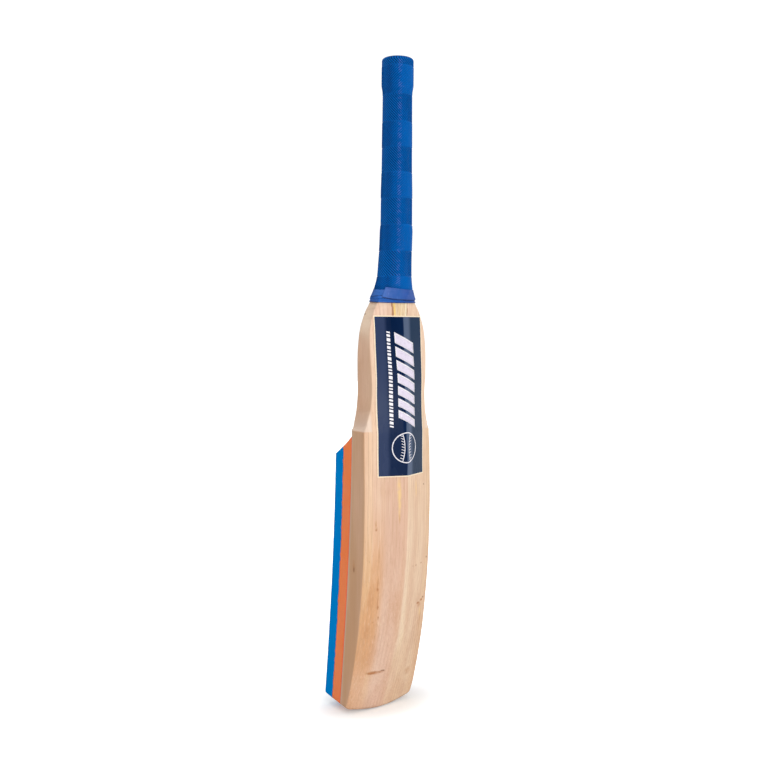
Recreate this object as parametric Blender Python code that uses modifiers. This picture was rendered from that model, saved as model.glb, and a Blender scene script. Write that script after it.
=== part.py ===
"""A full-size cricket bat whose striking face carries two layers of foam.

The wooden blade is one solid with a V-shaped splice. The cane handle is a laminate of four layers, each of three
strips, with a rubber strip between each pair of layers; its foot is tapered to fill the splice. Twine binds both
ends of the handle, a rubber grip covers it, and tape closes the grip's foot. A label is folded over the back.

Frame: +X across the blade, -Y out of the striking face, +Y out of the ridged back, +Z up the handle. The origin is
under the middle of the bat's bounding box, level with the lowest point of the toe. All profiles below are given in
metres from the handle's axis, and one empty shifts every piece from there to the origin.
"""

import math

import bmesh
import bpy

# Overall sizes
HANDLE_TOP = 0.8480  # end of the cane; the grip's lip stands above it
BLADE_HALF = 0.0540  # half of the blade's width
GLUE = 0.0003  # gap between pieces that touch

# Divisions round a section of the blade, kept equal in number to those of the handle's oval that it turns into
FRONT_STEPS = 8
EDGE_STEPS = 4
FACET_STEPS = 3
STRIP_STEPS = 2
RING_POINTS = FRONT_STEPS + 2 * EDGE_STEPS + 2 * FACET_STEPS + STRIP_STEPS

# Striking face: how far the toe kicks forward from where the blade is upright
BOW_TOP = 0.360
BOW_DEPTH = 0.0238
BOW_POWER = 1.65

# Foam pads, glued to the blade's face
INNER_PAD = 0.0187
OUTER_PAD = 0.0168
PAD_TOP = 0.3690
PAD_TOP_DROP = 0.0262  # how much lower the top edge is at the outermost face
PAD_TOP_POWER = 0.88
PAD_LAST_LEVEL = 0.320  # above this the pads run straight up to their sloping top

# Toe: an arc across the width, with rounded corners, cut a little higher on the face side
TOE_RADIUS = 0.208
TOE_LAND = 0.004
TOE_CORNER = 0.005
TOE_TILT = 0.150
TOE_TILT_SPAN = (0.020, 0.060)  # the tilt fades out between these heights
TOE_ARC_STEPS = 4
TOE_CORNER_STEPS = 3

# Blade profiles as (height, distance) stations, joined by smooth curves
FRONT_Y = ((0.360, -0.0202), (0.420, -0.0203), (0.480, -0.0180), (0.545, -0.0165))
FRONT_CROWN = ((0.400, 0.0), (0.480, 0.0022), (0.545, 0.0035))
EDGE_DEPTH = (
    (0.000, 0.0129), (0.040, 0.0206), (0.080, 0.0261), (0.120, 0.0298), (0.200, 0.0324),
    (0.280, 0.0305), (0.360, 0.0264), (0.430, 0.0260), (0.480, 0.0217), (0.545, 0.0188),
)
SPINE_RISE = (
    (0.000, 0.0089), (0.080, 0.0145), (0.160, 0.0184), (0.280, 0.0210), (0.360, 0.0204),
    (0.440, 0.0150), (0.520, 0.0070), (0.560, 0.0060),
)
SPINE_FLAT = ((0.330, 0.0005), (0.450, 0.0070), (0.520, 0.0115))  # half-width of the flat strip on the spine
SPINE_LEAN = ((0.330, 0.0), (0.520, 0.0040))  # the strip was shaped slightly off centre
SHOULDER = 0.3755
SHOULDER_TILT = 0.166
SHOULDER_MIDDLE_Y = -0.0052
NECK_HALF = (
    (0.3755, 0.0540), (0.3800, 0.0513), (0.3900, 0.0485), (0.4050, 0.0456), (0.4250, 0.0441),
    (0.4500, 0.0456), (0.4750, 0.0467), (0.4970, 0.0456), (0.5090, 0.0436), (0.5200, 0.0394),
    (0.5300, 0.0352), (0.5410, 0.0309), (0.5570, 0.0262),
)
BLADE_TOP = 0.590  # tips of the shoulders, under the twine

# Handle core as (height, half-width, half-depth, middle) of an oval
OVAL_START = 0.538
OVAL_END = 0.560
CORE = (
    (0.538, 0.0300, 0.0160, -0.0050), (0.546, 0.0292, 0.0160, -0.0052), (0.557, 0.0262, 0.0163, -0.0049),
    (0.567, 0.0232, 0.0166, -0.0038), (0.577, 0.0197, 0.0165, -0.0029), (0.590, 0.0187, 0.0167, -0.0023),
    (0.618, 0.0173, 0.0171, -0.0007), (0.640, 0.0172, 0.0172, 0.0), (0.720, 0.0170, 0.0170, 0.0),
    (0.800, 0.0167, 0.0167, 0.0), (0.848, 0.0166, 0.0166, 0.0),
)
CORE_CHAMFER = 0.0016

# Splice: a V through the blade
SPLICE_TIP = 0.415
SPLICE_TIP_HALF = 0.0015
SPLICE_TOP = 0.585
SPLICE_TOP_HALF = 0.0171
CUT_MARGIN = 0.015  # how far cutting shapes run past what they cut
CUT_HALF_DEPTH = 0.060

# Laminate of the cane handle
CANE_LAYERS = 4
CANE_STRIPS = 3
STRIP_WIDTH = 0.0112
RUBBER = 0.0016
LAYER = 0.0072
LAMINATE_LEAN = math.radians(0.8)  # the layers follow the handle's foot into the neck

# Twine
TWINE_INNER = 0.00015
TWINE_VALLEY = 0.0010
TWINE_CREST = 0.0014
TWINE_PITCH = 0.0030
TOP_TWINE = (0.8175, 0.8445)
FOOT_TWINE = (0.5800, 0.6310)

# Grip: clearance round the core as (height, gap) stations
GRIP_WALL = 0.0016
GRIP_FOOT = 0.5455
GRIP_GAP = (
    (0.5455, 0.0004), (0.5600, 0.0004), (0.5670, 0.0005), (0.5780, 0.0019), (0.6310, 0.0019), (0.6420, 0.0013),
    (0.6800, 0.0012), (0.7000, 0.0008), (0.7200, 0.0006), (0.8040, 0.0004), (0.8165, 0.0018), (0.8450, 0.0018),
)
LIP_Z = 0.8484
LIP_OPENING = 0.0115
LIP_ROUND = 0.0024
LIP_STEPS = 3

# Tape round the grip's foot
TAPE = 0.0006
TAPE_FOOT = 0.5415
TAPE_STEP = (0.5438, 0.5448)
TAPE_TOP = 0.5610

# Label
LABEL = 0.00035
LABEL_GAP = 0.0005
LABEL_Z = (0.320, 0.5215)
LABEL_HALF = ((0.320, 0.0360), (0.5215, 0.0372))

# Heights of the sections between the toe and the handle's end
BLADE_HEIGHTS = (
    0.018, 0.030, 0.045, 0.060, 0.080, 0.105, 0.130, 0.160, 0.200, 0.240, 0.280, 0.320, 0.350,
)
NECK_HEIGHTS = (
    0.380, 0.390, 0.405, 0.425, 0.4375, 0.450, 0.4625, 0.475, 0.4875, 0.500, 0.509, 0.5155, 0.5215, 0.530, 0.536,
    0.541, 0.546, 0.551, 0.557, 0.567, 0.577, 0.590,
)
HANDLE_HEIGHTS = (0.604, 0.618, 0.630, 0.642, 0.680, 0.700, 0.720, 0.804, 0.8165)
LEAST_STEP = 0.002  # sections nearer than this to a sleeve's own end are left out

SHARP_ANGLE = math.radians(35)  # edges of round pieces turning more than this stay crisp

COLOURS = {
    "wood": (0.80, 0.60, 0.42),
    "orange_foam": (0.68, 0.22, 0.11),
    "blue_foam": (0.005, 0.18, 0.50),
    "label": (0.012, 0.030, 0.080),
    "cane": (0.72, 0.55, 0.30),
    "rubber": (0.03, 0.03, 0.03),
    "twine": (0.62, 0.52, 0.36),
    "grip": (0.005, 0.095, 0.38),
    "tape": (0.07, 0.14, 0.45),
}
ROUGHNESS = {
    "wood": 0.55, "orange_foam": 0.85, "blue_foam": 0.70, "label": 0.20, "cane": 0.60,
    "rubber": 0.80, "twine": 0.85, "grip": 0.45, "tape": 0.30,
}


def smooth(stations, z, column=1):
    """The value at height z on a curve through the stations that never overshoots them."""
    if z <= stations[0][0]:
        return stations[0][column]
    if z >= stations[-1][0]:
        return stations[-1][column]
    steps = list(zip(stations, stations[1:]))
    rates = [(b[column] - a[column]) / (b[0] - a[0]) for a, b in steps]
    k = next(i for i, (a, b) in enumerate(steps) if z <= b[0])

    def slope(i):
        if i == 0 or i == len(rates):
            return rates[min(i, len(rates) - 1)]
        before, after = rates[i - 1], rates[i]
        return 0.0 if before * after <= 0 else 2 * before * after / (before + after)

    a, b = steps[k]
    width = b[0] - a[0]
    t = (z - a[0]) / width
    return (
        a[column] * (1 + 2 * t) * (1 - t) ** 2
        + width * slope(k) * t * (1 - t) ** 2
        + b[column] * t * t * (3 - 2 * t)
        + width * slope(k + 1) * t * t * (t - 1)
    )


def ease(low, high, z):
    t = min(1.0, max(0.0, (z - low) / (high - low)))
    return t * t * (3 - 2 * t)


def bow(z):
    return BOW_DEPTH * max(0.0, (BOW_TOP - z) / BOW_TOP) ** BOW_POWER


def front_y(z):
    return smooth(FRONT_Y, z) - bow(z)


def half_width(z):
    """Half of the blade's width, above the rounded toe corners."""
    return BLADE_HALF if z <= SHOULDER else smooth(NECK_HALF, z)


def spine_y(z):
    return front_y(z) + smooth(EDGE_DEPTH, z) + smooth(SPINE_RISE, z)


def spine_strip(z):
    """The two borders of the flat strip along the spine."""
    middle, half = smooth(SPINE_LEAN, z), smooth(SPINE_FLAT, z)
    return middle - half, middle + half


def back_y(x, z):
    """The back surface: a flat strip on the spine, and a plane facet down to each edge."""
    low, high = spine_strip(z)
    beyond = max(low - x, x - high, 0.0)
    to_edge = half_width(z) - abs(high if x > high else low)
    return spine_y(z) - smooth(SPINE_RISE, z) * beyond / to_edge


def blade_outline(z, half):
    """The blade's section at height z, cut off at half its width: front, edge, facet, strip, facet, edge."""
    low, high = spine_strip(z)
    crown = smooth(FRONT_CROWN, z)
    corner = (half, front_y(z))
    edge = (half, back_y(half, z))
    points = []
    for i in range(FRONT_STEPS + 1):
        share = 2 * i / FRONT_STEPS - 1
        points.append((half * share, front_y(z) - crown * (1 - share**2)))
    spine = spine_y(z)
    far_edge, far_corner = (-half, back_y(-half, z)), (-half, front_y(z))
    points += divided(corner, edge, EDGE_STEPS)[1:]
    points += divided(edge, (high, spine), FACET_STEPS)
    points += divided((high, spine), (low, spine), STRIP_STEPS)
    points += divided((low, spine), far_edge, FACET_STEPS)
    points += divided(far_edge, far_corner, EDGE_STEPS)
    return points


def between(a, b, t):
    return (a[0] + (b[0] - a[0]) * t, a[1] + (b[1] - a[1]) * t)


def divided(a, b, parts):
    """The points that divide the line from a to b in equal parts, without b."""
    return [between(a, b, i / parts) for i in range(parts)]


def oval_outline(z):
    across, deep, middle = (smooth(CORE, z, column) for column in (1, 2, 3))
    turn = 2 * math.pi / RING_POINTS
    angles = [-math.pi / 2 + (i - FRONT_STEPS / 2) * turn for i in range(RING_POINTS)]
    return [(across * math.cos(a), middle + deep * math.sin(a)) for a in angles]


def core_outline(z):
    """The section of blade and handle together, turning from the blade's facets into the handle's oval."""
    if z >= OVAL_END:
        return oval_outline(z)
    blade = blade_outline(z, half_width(z))
    share = ease(OVAL_START, OVAL_END, z)
    return [between(p, q, share) for p, q in zip(blade, oval_outline(z))]


def grown(outline, by):
    """The outline moved outwards by a distance, measured square to its sides."""
    count = len(outline)
    moved = []
    for i, (x, y) in enumerate(outline):
        (ax, ay), (bx, by_) = outline[i - 1], outline[(i + 1) % count]
        first = side_normal((ax, ay), (x, y))
        second = side_normal((x, y), (bx, by_))
        nx, ny = first[0] + second[0], first[1] + second[1]
        scale = by / max(0.5, 1 + first[0] * second[0] + first[1] * second[1])
        moved.append((x + nx * scale, y + ny * scale))
    return moved


def side_normal(a, b):
    dx, dy = b[0] - a[0], b[1] - a[1]
    length = math.hypot(dx, dy)
    return dy / length, -dx / length


def at_height(outline, z):
    return [(x, y, z) for x, y in outline]


def toe_rings():
    """(height above the toe's lowest point, half-width) of the levels through the toe's arc and rounded corner."""
    lean = math.asin(BLADE_HALF / TOE_RADIUS)
    reach = TOE_CORNER * math.tan((math.pi / 2 - lean) / 2)
    arc_end = BLADE_HALF - reach * math.cos(lean)
    widths = [TOE_LAND + (arc_end - TOE_LAND) * i / TOE_ARC_STEPS for i in range(TOE_ARC_STEPS + 1)]
    rings = [(w * w / (2 * TOE_RADIUS), w) for w in widths]
    centre_z = BLADE_HALF**2 / (2 * TOE_RADIUS) + reach
    for i in range(TOE_CORNER_STEPS):
        turn = lean + (math.pi / 2 - lean) * (i + 1) / TOE_CORNER_STEPS
        x = BLADE_HALF - TOE_CORNER * (1 - math.sin(turn))
        rings.append((centre_z - TOE_CORNER * math.cos(turn), x))
    rings[0] = (0.0, TOE_LAND)
    return rings


def toe_height(level, y):
    """The height of a point on a level: the toe is cut higher towards the striking face."""
    share = 1 - ease(*TOE_TILT_SPAN, level)
    return level + TOE_TILT * (spine_y(0.0) - y) * share


def crease_height(level, y):
    """The crease where the shoulders start runs a little higher at the front than at the back."""
    return level - SHOULDER_TILT * (y - SHOULDER_MIDDLE_Y)


def sloping_ring(level, height, outline_at):
    """A ring of points on a sloping level, each taken from the outline at its own height."""
    ring = []
    for i, (_, y) in enumerate(outline_at(level)):
        x, y = outline_at(height(level, y))[i]
        ring.append((x, y, height(level, y)))
    return ring


def toe_levels():
    """(level, half-width) of every ring from the toe to below the shoulders."""
    return toe_rings() + [(level, BLADE_HALF) for level in BLADE_HEIGHTS]


def blade_rings():
    rings = []
    for level, half in toe_levels():
        rings.append(sloping_ring(level, toe_height, lambda z, half=half: blade_outline(z, half)))
    rings.append(sloping_ring(SHOULDER, crease_height, lambda z: blade_outline(z, BLADE_HALF)))
    rings += [at_height(core_outline(z), z) for z in NECK_HEIGHTS]
    return rings


def handle_rings():
    heights = [z for z in NECK_HEIGHTS + HANDLE_HEIGHTS if z > SPLICE_TIP - CUT_MARGIN]
    rings = [at_height(core_outline(z), z) for z in heights]
    rings.append(at_height(core_outline(HANDLE_TOP), HANDLE_TOP - CORE_CHAMFER))
    rings.append(at_height(grown(core_outline(HANDLE_TOP), -CORE_CHAMFER), HANDLE_TOP))
    return rings


def pad_rings(nearest, farthest):
    """Rings of a foam pad between two distances from the blade's face."""

    def outline(z, half):
        near, far = front_y(z) - nearest, front_y(z) - farthest
        return [(-half, far), (half, far), (half, near), (-half, near)]

    levels = [(level, half) for level, half in toe_levels() if level < PAD_LAST_LEVEL]
    rings = [sloping_ring(level, toe_height, lambda z, half=half: outline(z, half)) for level, half in levels]
    top = []
    for i, distance in enumerate((farthest, farthest, nearest, nearest)):
        share = distance / (INNER_PAD + OUTER_PAD)
        z = PAD_TOP - PAD_TOP_DROP * share**PAD_TOP_POWER
        x, y = outline(z, BLADE_HALF)[i]
        top.append((x, y, z))
    rings.append(top)
    return rings


def loft(name, rings, ends=True, closed=False):
    """A skin over rings of equal point count, with flat ends, or joined last ring to first, or open."""
    mesh = bpy.data.meshes.new(name)
    bm = bmesh.new()
    rows = [[bm.verts.new(p) for p in ring] for ring in rings]
    count = len(rings[0])
    pairs = list(zip(rows, rows[1:]))
    if closed:
        pairs.append((rows[-1], rows[0]))
    for low, high in pairs:
        for i in range(count):
            j = (i + 1) % count
            bm.faces.new((low[i], low[j], high[j], high[i]))
    if ends and not closed:
        bm.faces.new(rows[0][::-1])
        bm.faces.new(rows[-1])
    bm.normal_update()
    bm.to_mesh(mesh)
    bm.free()
    return mesh


def sheet(name, rows):
    """An open sheet over rows of points."""
    mesh = bpy.data.meshes.new(name)
    bm = bmesh.new()
    made = [[bm.verts.new(p) for p in row] for row in rows]
    for low, high in zip(made, made[1:]):
        for i in range(len(low) - 1):
            bm.faces.new((low[i], high[i], high[i + 1], low[i + 1]))
    bm.normal_update()
    bm.to_mesh(mesh)
    bm.free()
    return mesh


def prism(name, outline):
    """An outline in the XZ plane pushed through the bat from front to back."""
    mesh = bpy.data.meshes.new(name)
    bm = bmesh.new()
    face = bm.faces.new([bm.verts.new((x, -CUT_HALF_DEPTH, z)) for x, z in outline])
    pushed = bmesh.ops.extrude_face_region(bm, geom=[face])["geom"]
    moved = [v for v in pushed if isinstance(v, bmesh.types.BMVert)]
    bmesh.ops.translate(bm, vec=(0, 2 * CUT_HALF_DEPTH, 0), verts=moved)
    bmesh.ops.recalc_face_normals(bm, faces=bm.faces)
    bm.to_mesh(mesh)
    bm.free()
    return mesh


def box(name, size, location, lean):
    mesh = bpy.data.meshes.new(name)
    bm = bmesh.new()
    bmesh.ops.create_cube(bm, size=1.0)
    bmesh.ops.scale(bm, vec=size, verts=bm.verts)
    bm.to_mesh(mesh)
    bm.free()
    obj = cutter(name, mesh)
    obj.location = location
    obj.rotation_euler.x = lean
    return obj


def material(kind):
    found = bpy.data.materials.get(kind)
    if found:
        return found
    made = bpy.data.materials.new(kind)
    made.use_nodes = True
    shader = made.node_tree.nodes["Principled BSDF"]
    shader.inputs["Base Color"].default_value = (*COLOURS[kind], 1.0)
    shader.inputs["Roughness"].default_value = ROUGHNESS[kind]
    shader.inputs["Metallic"].default_value = 0.0
    return made


def collection(name):
    made = bpy.data.collections.new(name)
    bpy.context.scene.collection.children.link(made)
    return made


def piece(name, mesh, kind, round_piece=False):
    obj = bpy.data.objects.new(name, mesh)
    PARTS.objects.link(obj)
    obj.parent = HOLDER
    if not mesh.materials:
        mesh.materials.append(material(kind))
    if round_piece:
        mesh.shade_smooth()
        mesh.set_sharp_from_angle(angle=SHARP_ANGLE)
    return obj


def cutter(name, mesh):
    obj = bpy.data.objects.new(name, mesh)
    CUTTERS.objects.link(obj)
    obj.parent = HOLDER
    obj.hide_render = True
    obj.display_type = "WIRE"
    return obj


def boolean(obj, operation, other):
    modifier = obj.modifiers.new(operation.lower(), "BOOLEAN")
    modifier.operation = operation
    modifier.solver = "EXACT"
    modifier.object = other


def solidify(obj, thickness):
    modifier = obj.modifiers.new("thickness", "SOLIDIFY")
    modifier.thickness = thickness
    modifier.offset = 1.0
    modifier.use_even_offset = True


def splice_outline(grow):
    """The splice's V, widening from its tip to the width of the round handle, grown by a distance."""
    tip, top, over = SPLICE_TIP_HALF + grow, SPLICE_TOP_HALF + grow, BLADE_TOP + CUT_MARGIN
    return [
        (-tip, SPLICE_TIP - grow), (tip, SPLICE_TIP - grow), (top, SPLICE_TOP),
        (top, over), (-top, over), (-top, SPLICE_TOP),
    ]


def build_blade():
    blade = piece("blade", loft("blade", blade_rings()), "wood")
    slot = cutter("splice_slot", prism("splice_slot", splice_outline(GLUE / 2)))
    boolean(blade, "DIFFERENCE", slot)


def build_pads():
    piece("foam_pad_inner", loft("foam_pad_inner", pad_rings(GLUE, INNER_PAD)), "orange_foam")
    outer = pad_rings(INNER_PAD + GLUE, INNER_PAD + OUTER_PAD)
    piece("foam_pad_outer", loft("foam_pad_outer", outer), "blue_foam")


def build_label():
    bottom, top = LABEL_Z
    heights = [z for z in (BLADE_HEIGHTS + (SHOULDER,) + NECK_HEIGHTS) if bottom <= z <= top]
    rows = []
    for z in heights:
        half = smooth(LABEL_HALF, z)
        low, high = spine_strip(z)
        rows.append([(x, back_y(x, z) + LABEL_GAP, z) for x in (-half, low, high, half)])
    label = piece("back_label", sheet("back_label", rows), "label")
    solidify(label, LABEL)


def handle_blank():
    """The whole cane handle in one solid, with its foot cut to the splice's V."""
    mesh = loft("handle_blank", handle_rings())
    blank = cutter("handle_whole", mesh)
    tip, top = SPLICE_TIP_HALF - GLUE / 2, SPLICE_TOP_HALF - GLUE / 2
    wide, step, over = BLADE_HALF, BLADE_TOP + GLUE, HANDLE_TOP + CUT_MARGIN
    funnel = [
        (-tip, SPLICE_TIP + GLUE / 2), (tip, SPLICE_TIP + GLUE / 2), (top, SPLICE_TOP), (top, step),
        (wide, step), (wide, over), (-wide, over), (-wide, step), (-top, step), (-top, SPLICE_TOP),
    ]
    boolean(blank, "INTERSECT", cutter("splice_funnel", prism("splice_funnel", funnel)))
    bpy.context.view_layer.update()
    evaluated = blank.evaluated_get(bpy.context.evaluated_depsgraph_get())
    cut = bpy.data.meshes.new_from_object(evaluated)
    bpy.data.objects.remove(blank)
    return cut


def laminate_box(name, across, deep, width, depth):
    """A box that follows one strip of the laminate, leaning with the layers about the handle's top."""
    length = HANDLE_TOP - SPLICE_TIP + 4 * CUT_MARGIN
    middle = (HANDLE_TOP + SPLICE_TIP) / 2
    y = deep - (HANDLE_TOP - middle) * math.tan(LAMINATE_LEAN)
    return box(name, (width, depth, length), (across, y, middle), -LAMINATE_LEAN)


def build_handle():
    blank = handle_blank()
    step = LAYER + RUBBER
    first = -step * (CANE_LAYERS - 1) / 2
    for layer in range(CANE_LAYERS):
        deep, depth = first + layer * step, LAYER - GLUE
        if layer in (0, CANE_LAYERS - 1):
            deep += LAYER * (1 if layer else -1)
            depth += 2 * LAYER
        for strip in range(CANE_STRIPS):
            side = strip - (CANE_STRIPS - 1) / 2
            across, width = side * STRIP_WIDTH, STRIP_WIDTH - GLUE
            if side:
                across += side * STRIP_WIDTH
                width += 2 * STRIP_WIDTH
            name = f"cane_layer{layer + 1}_strip{strip + 1}"
            made = piece(name, blank.copy(), "cane")
            boolean(made, "INTERSECT", laminate_box(f"{name}_box", across, deep, width, depth))
    for gap in range(CANE_LAYERS - 1):
        name = f"handle_rubber_{gap + 1}"
        made = piece(name, blank.copy(), "rubber")
        deep = first + (gap + 0.5) * step
        boolean(made, "INTERSECT", laminate_box(f"{name}_box", 0.0, deep, 2 * BLADE_HALF, RUBBER - GLUE))


def twine_profile(low, high):
    """(height, build-up) down the outside of a binding, one crest for each band of turns."""
    turns = round((high - low) / TWINE_PITCH)
    profile = []
    for i in range(2 * turns + 1):
        z = high - (high - low) * i / (2 * turns)
        profile.append((z, TWINE_CREST if i % 2 else TWINE_VALLEY))
    return profile


def build_top_twine():
    """The binding at the handle's end, turned about the handle's axis."""
    low, high = TOP_TWINE
    radius = smooth(CORE, high) + TWINE_INNER
    outline = [(radius + rise, z) for z, rise in twine_profile(low, high)]
    outline += [(radius, low), (radius, high)]
    mesh = bpy.data.meshes.new("twine_binding_top")
    count = len(outline)
    mesh.from_pydata([(x, 0, z) for x, z in outline], [(i, (i + 1) % count) for i in range(count)], [])
    obj = piece("twine_binding_top", mesh, "twine")
    screw = obj.modifiers.new("turned", "SCREW")
    screw.steps = screw.render_steps = RING_POINTS
    screw.use_merge_vertices = True
    screw.merge_threshold = 0.00001
    screw.use_smooth_shade = True


def build_foot_twine():
    """The binding at the handle's foot, wound over the tips of the blade's shoulders."""
    low, high = FOOT_TWINE
    rings = [at_height(grown(core_outline(z), TWINE_INNER + rise), z) for z, rise in twine_profile(low, high)]
    inner = [low] + [z for z in NECK_HEIGHTS + HANDLE_HEIGHTS if low < z < high] + [high]
    rings += [at_height(grown(core_outline(z), TWINE_INNER), z) for z in inner]
    piece("twine_binding_foot", loft("twine_binding_foot", rings[::-1], closed=True), "twine", True)


def grip_outline(z, extra=0.0):
    return grown(core_outline(z), smooth(GRIP_GAP, z) + extra)


def build_grip():
    """A sleeve over the handle whose upper edge turns in over the handle's end."""
    heights = [GRIP_FOOT] + [z for z in NECK_HEIGHTS + HANDLE_HEIGHTS if z > GRIP_FOOT + LEAST_STEP]
    rings = [at_height(grip_outline(z), z) for z in heights]
    end = LIP_Z - LIP_ROUND
    radius = smooth(CORE, end) + smooth(GRIP_GAP, end)
    for i in range(LIP_STEPS + 1):
        turn = math.pi / 2 * i / LIP_STEPS
        inwards = LIP_ROUND * (1 - math.cos(turn))
        level = end + LIP_ROUND * math.sin(turn)
        rings.append(round_ring(radius - inwards, level))
    rings.append(round_ring(LIP_OPENING, LIP_Z))
    grip = piece("rubber_grip", loft("rubber_grip", rings, ends=False), "grip", True)
    solidify(grip, GRIP_WALL)


def round_ring(radius, z):
    outline = oval_outline(HANDLE_TOP)
    scale = radius / smooth(CORE, HANDLE_TOP)
    return [(x * scale, y * scale, z) for x, y in outline]


def build_tape():
    """Tape that starts on the wood and steps up over the grip's foot."""
    low, high = TAPE_STEP
    over = GRIP_WALL + GLUE
    rings = [at_height(grown(core_outline(z), GLUE), z) for z in (TAPE_FOOT, low)]
    heights = [high] + [z for z in NECK_HEIGHTS if high < z < TAPE_TOP] + [TAPE_TOP]
    rings += [at_height(grip_outline(z, over), z) for z in heights]
    tape = piece("grip_foot_tape", loft("grip_foot_tape", rings, ends=False), "tape", True)
    solidify(tape, TAPE)


def axis_from_origin():
    """How far behind the origin the handle's axis lies, so that the origin is under the middle of the bat."""
    front = min(y for ring in pad_rings(INNER_PAD, INNER_PAD + OUTER_PAD) for _, y, _ in ring)
    back = max(y for ring in blade_rings() for _, y, _ in ring)
    return -(front + back) / 2


for old in list(bpy.data.objects):
    bpy.data.objects.remove(old, do_unlink=True)

PARTS = collection("cricket_bat")
CUTTERS = collection("cutters")
HOLDER = bpy.data.objects.new("handle_axis", None)
PARTS.objects.link(HOLDER)
HOLDER.location = (0.0, axis_from_origin(), 0.0)

build_blade()
build_pads()
build_label()
build_handle()
build_top_twine()
build_foot_twine()
build_grip()
build_tape()
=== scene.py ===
"""The looks of a cricket bat with a foam-faced blade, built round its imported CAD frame.

Profiles are in metres from the handle's axis, as the solids were drawn: +X across the blade, -Y out of the foam
face, +Y out of the ridged back, +Z up the handle. AXIS moves a finished piece into the frame.
"""

import math

import bpy
import numpy as np
from mathutils import Matrix, Vector


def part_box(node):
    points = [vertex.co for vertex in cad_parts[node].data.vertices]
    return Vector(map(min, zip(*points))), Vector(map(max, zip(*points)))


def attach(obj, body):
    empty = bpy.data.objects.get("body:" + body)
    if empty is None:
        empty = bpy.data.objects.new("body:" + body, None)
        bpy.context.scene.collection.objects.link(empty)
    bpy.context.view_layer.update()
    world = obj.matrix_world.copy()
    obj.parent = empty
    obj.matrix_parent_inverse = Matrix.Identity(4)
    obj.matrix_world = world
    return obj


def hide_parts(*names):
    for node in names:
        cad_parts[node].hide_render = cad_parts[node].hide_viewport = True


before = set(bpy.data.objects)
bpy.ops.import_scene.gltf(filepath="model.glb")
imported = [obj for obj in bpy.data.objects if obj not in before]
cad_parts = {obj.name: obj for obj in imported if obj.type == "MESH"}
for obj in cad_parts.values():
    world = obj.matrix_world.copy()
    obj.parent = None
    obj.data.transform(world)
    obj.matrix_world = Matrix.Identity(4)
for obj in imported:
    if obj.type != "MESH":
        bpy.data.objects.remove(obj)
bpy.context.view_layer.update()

TURN = 2 * math.pi


def axis_of(node):
    """The middle of a node's box, level with the ground."""
    low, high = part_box(node)
    return np.array([(low.x + high.x) / 2, (low.y + high.y) / 2, 0.0])


AXIS = axis_of("twine_binding_top")
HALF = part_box("blade")[1].x

# ---- profiles of the bat


class Profile:
    """A curve through (height, value) stations that never overshoots them."""

    def __init__(self, *stations):
        self.z, self.v = np.array(stations, float).T
        rates = np.diff(self.v) / np.diff(self.z)
        before, after = rates[:-1], rates[1:]
        steady = before * after > 0
        inner = np.where(steady, 2 * before * after / np.where(steady, before + after, 1.0), 0.0)
        self.slope = np.concatenate([rates[:1], inner, rates[-1:]])

    def __call__(self, z):
        z = np.clip(z, self.z[0], self.z[-1])
        k = np.clip(np.searchsorted(self.z, z, side="right") - 1, 0, len(self.z) - 2)
        width = self.z[k + 1] - self.z[k]
        t = (z - self.z[k]) / width
        return (
            self.v[k] * (1 + 2 * t) * (1 - t) ** 2
            + width * self.slope[k] * t * (1 - t) ** 2
            + self.v[k + 1] * t * t * (3 - 2 * t)
            + width * self.slope[k + 1] * t * t * (t - 1)
        )


def ease(low, high, z):
    t = np.clip((z - low) / (high - low), 0.0, 1.0)
    return t * t * (3 - 2 * t)


FRONT_Y = Profile((0.36, -0.0202), (0.42, -0.0203), (0.48, -0.018), (0.545, -0.0165))
CROWN = Profile((0.4, 0.0), (0.48, 0.0022), (0.545, 0.0035))
EDGE_DEPTH = Profile(
    (0.0, 0.0129), (0.04, 0.0206), (0.08, 0.0261), (0.12, 0.0298), (0.2, 0.0324), (0.28, 0.0305), (0.36, 0.0264),
    (0.43, 0.026), (0.48, 0.0217), (0.545, 0.0188),
)
SPINE_RISE = Profile(
    (0.0, 0.0089), (0.08, 0.0145), (0.16, 0.0184), (0.28, 0.021), (0.36, 0.0204), (0.44, 0.015), (0.52, 0.007),
    (0.56, 0.006),
)
SPINE_FLAT = Profile((0.33, 0.0005), (0.45, 0.007), (0.52, 0.0115))
SPINE_LEAN = Profile((0.33, 0.0), (0.52, 0.004))
SHOULDER, SHOULDER_TILT, SHOULDER_MIDDLE_Y = 0.3755, 0.166, -0.0052
NECK_HALF = Profile(
    (0.3755, 0.054), (0.38, 0.052), (0.39, 0.0497), (0.405, 0.047), (0.425, 0.046), (0.45, 0.0474), (0.475, 0.0484),
    (0.497, 0.047), (0.509, 0.0449), (0.52, 0.0413), (0.53, 0.0372), (0.541, 0.0309), (0.557, 0.0262),
)
# The neck's left side is shaved inwards by this much towards the back
SHAVED = Profile(
    (0.3755, 0.0), (0.395, 0.0016), (0.42, 0.0036), (0.45, 0.0042), (0.48, 0.004), (0.505, 0.002), (0.53, 0.0006),
    (0.545, 0.0),
)
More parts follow.
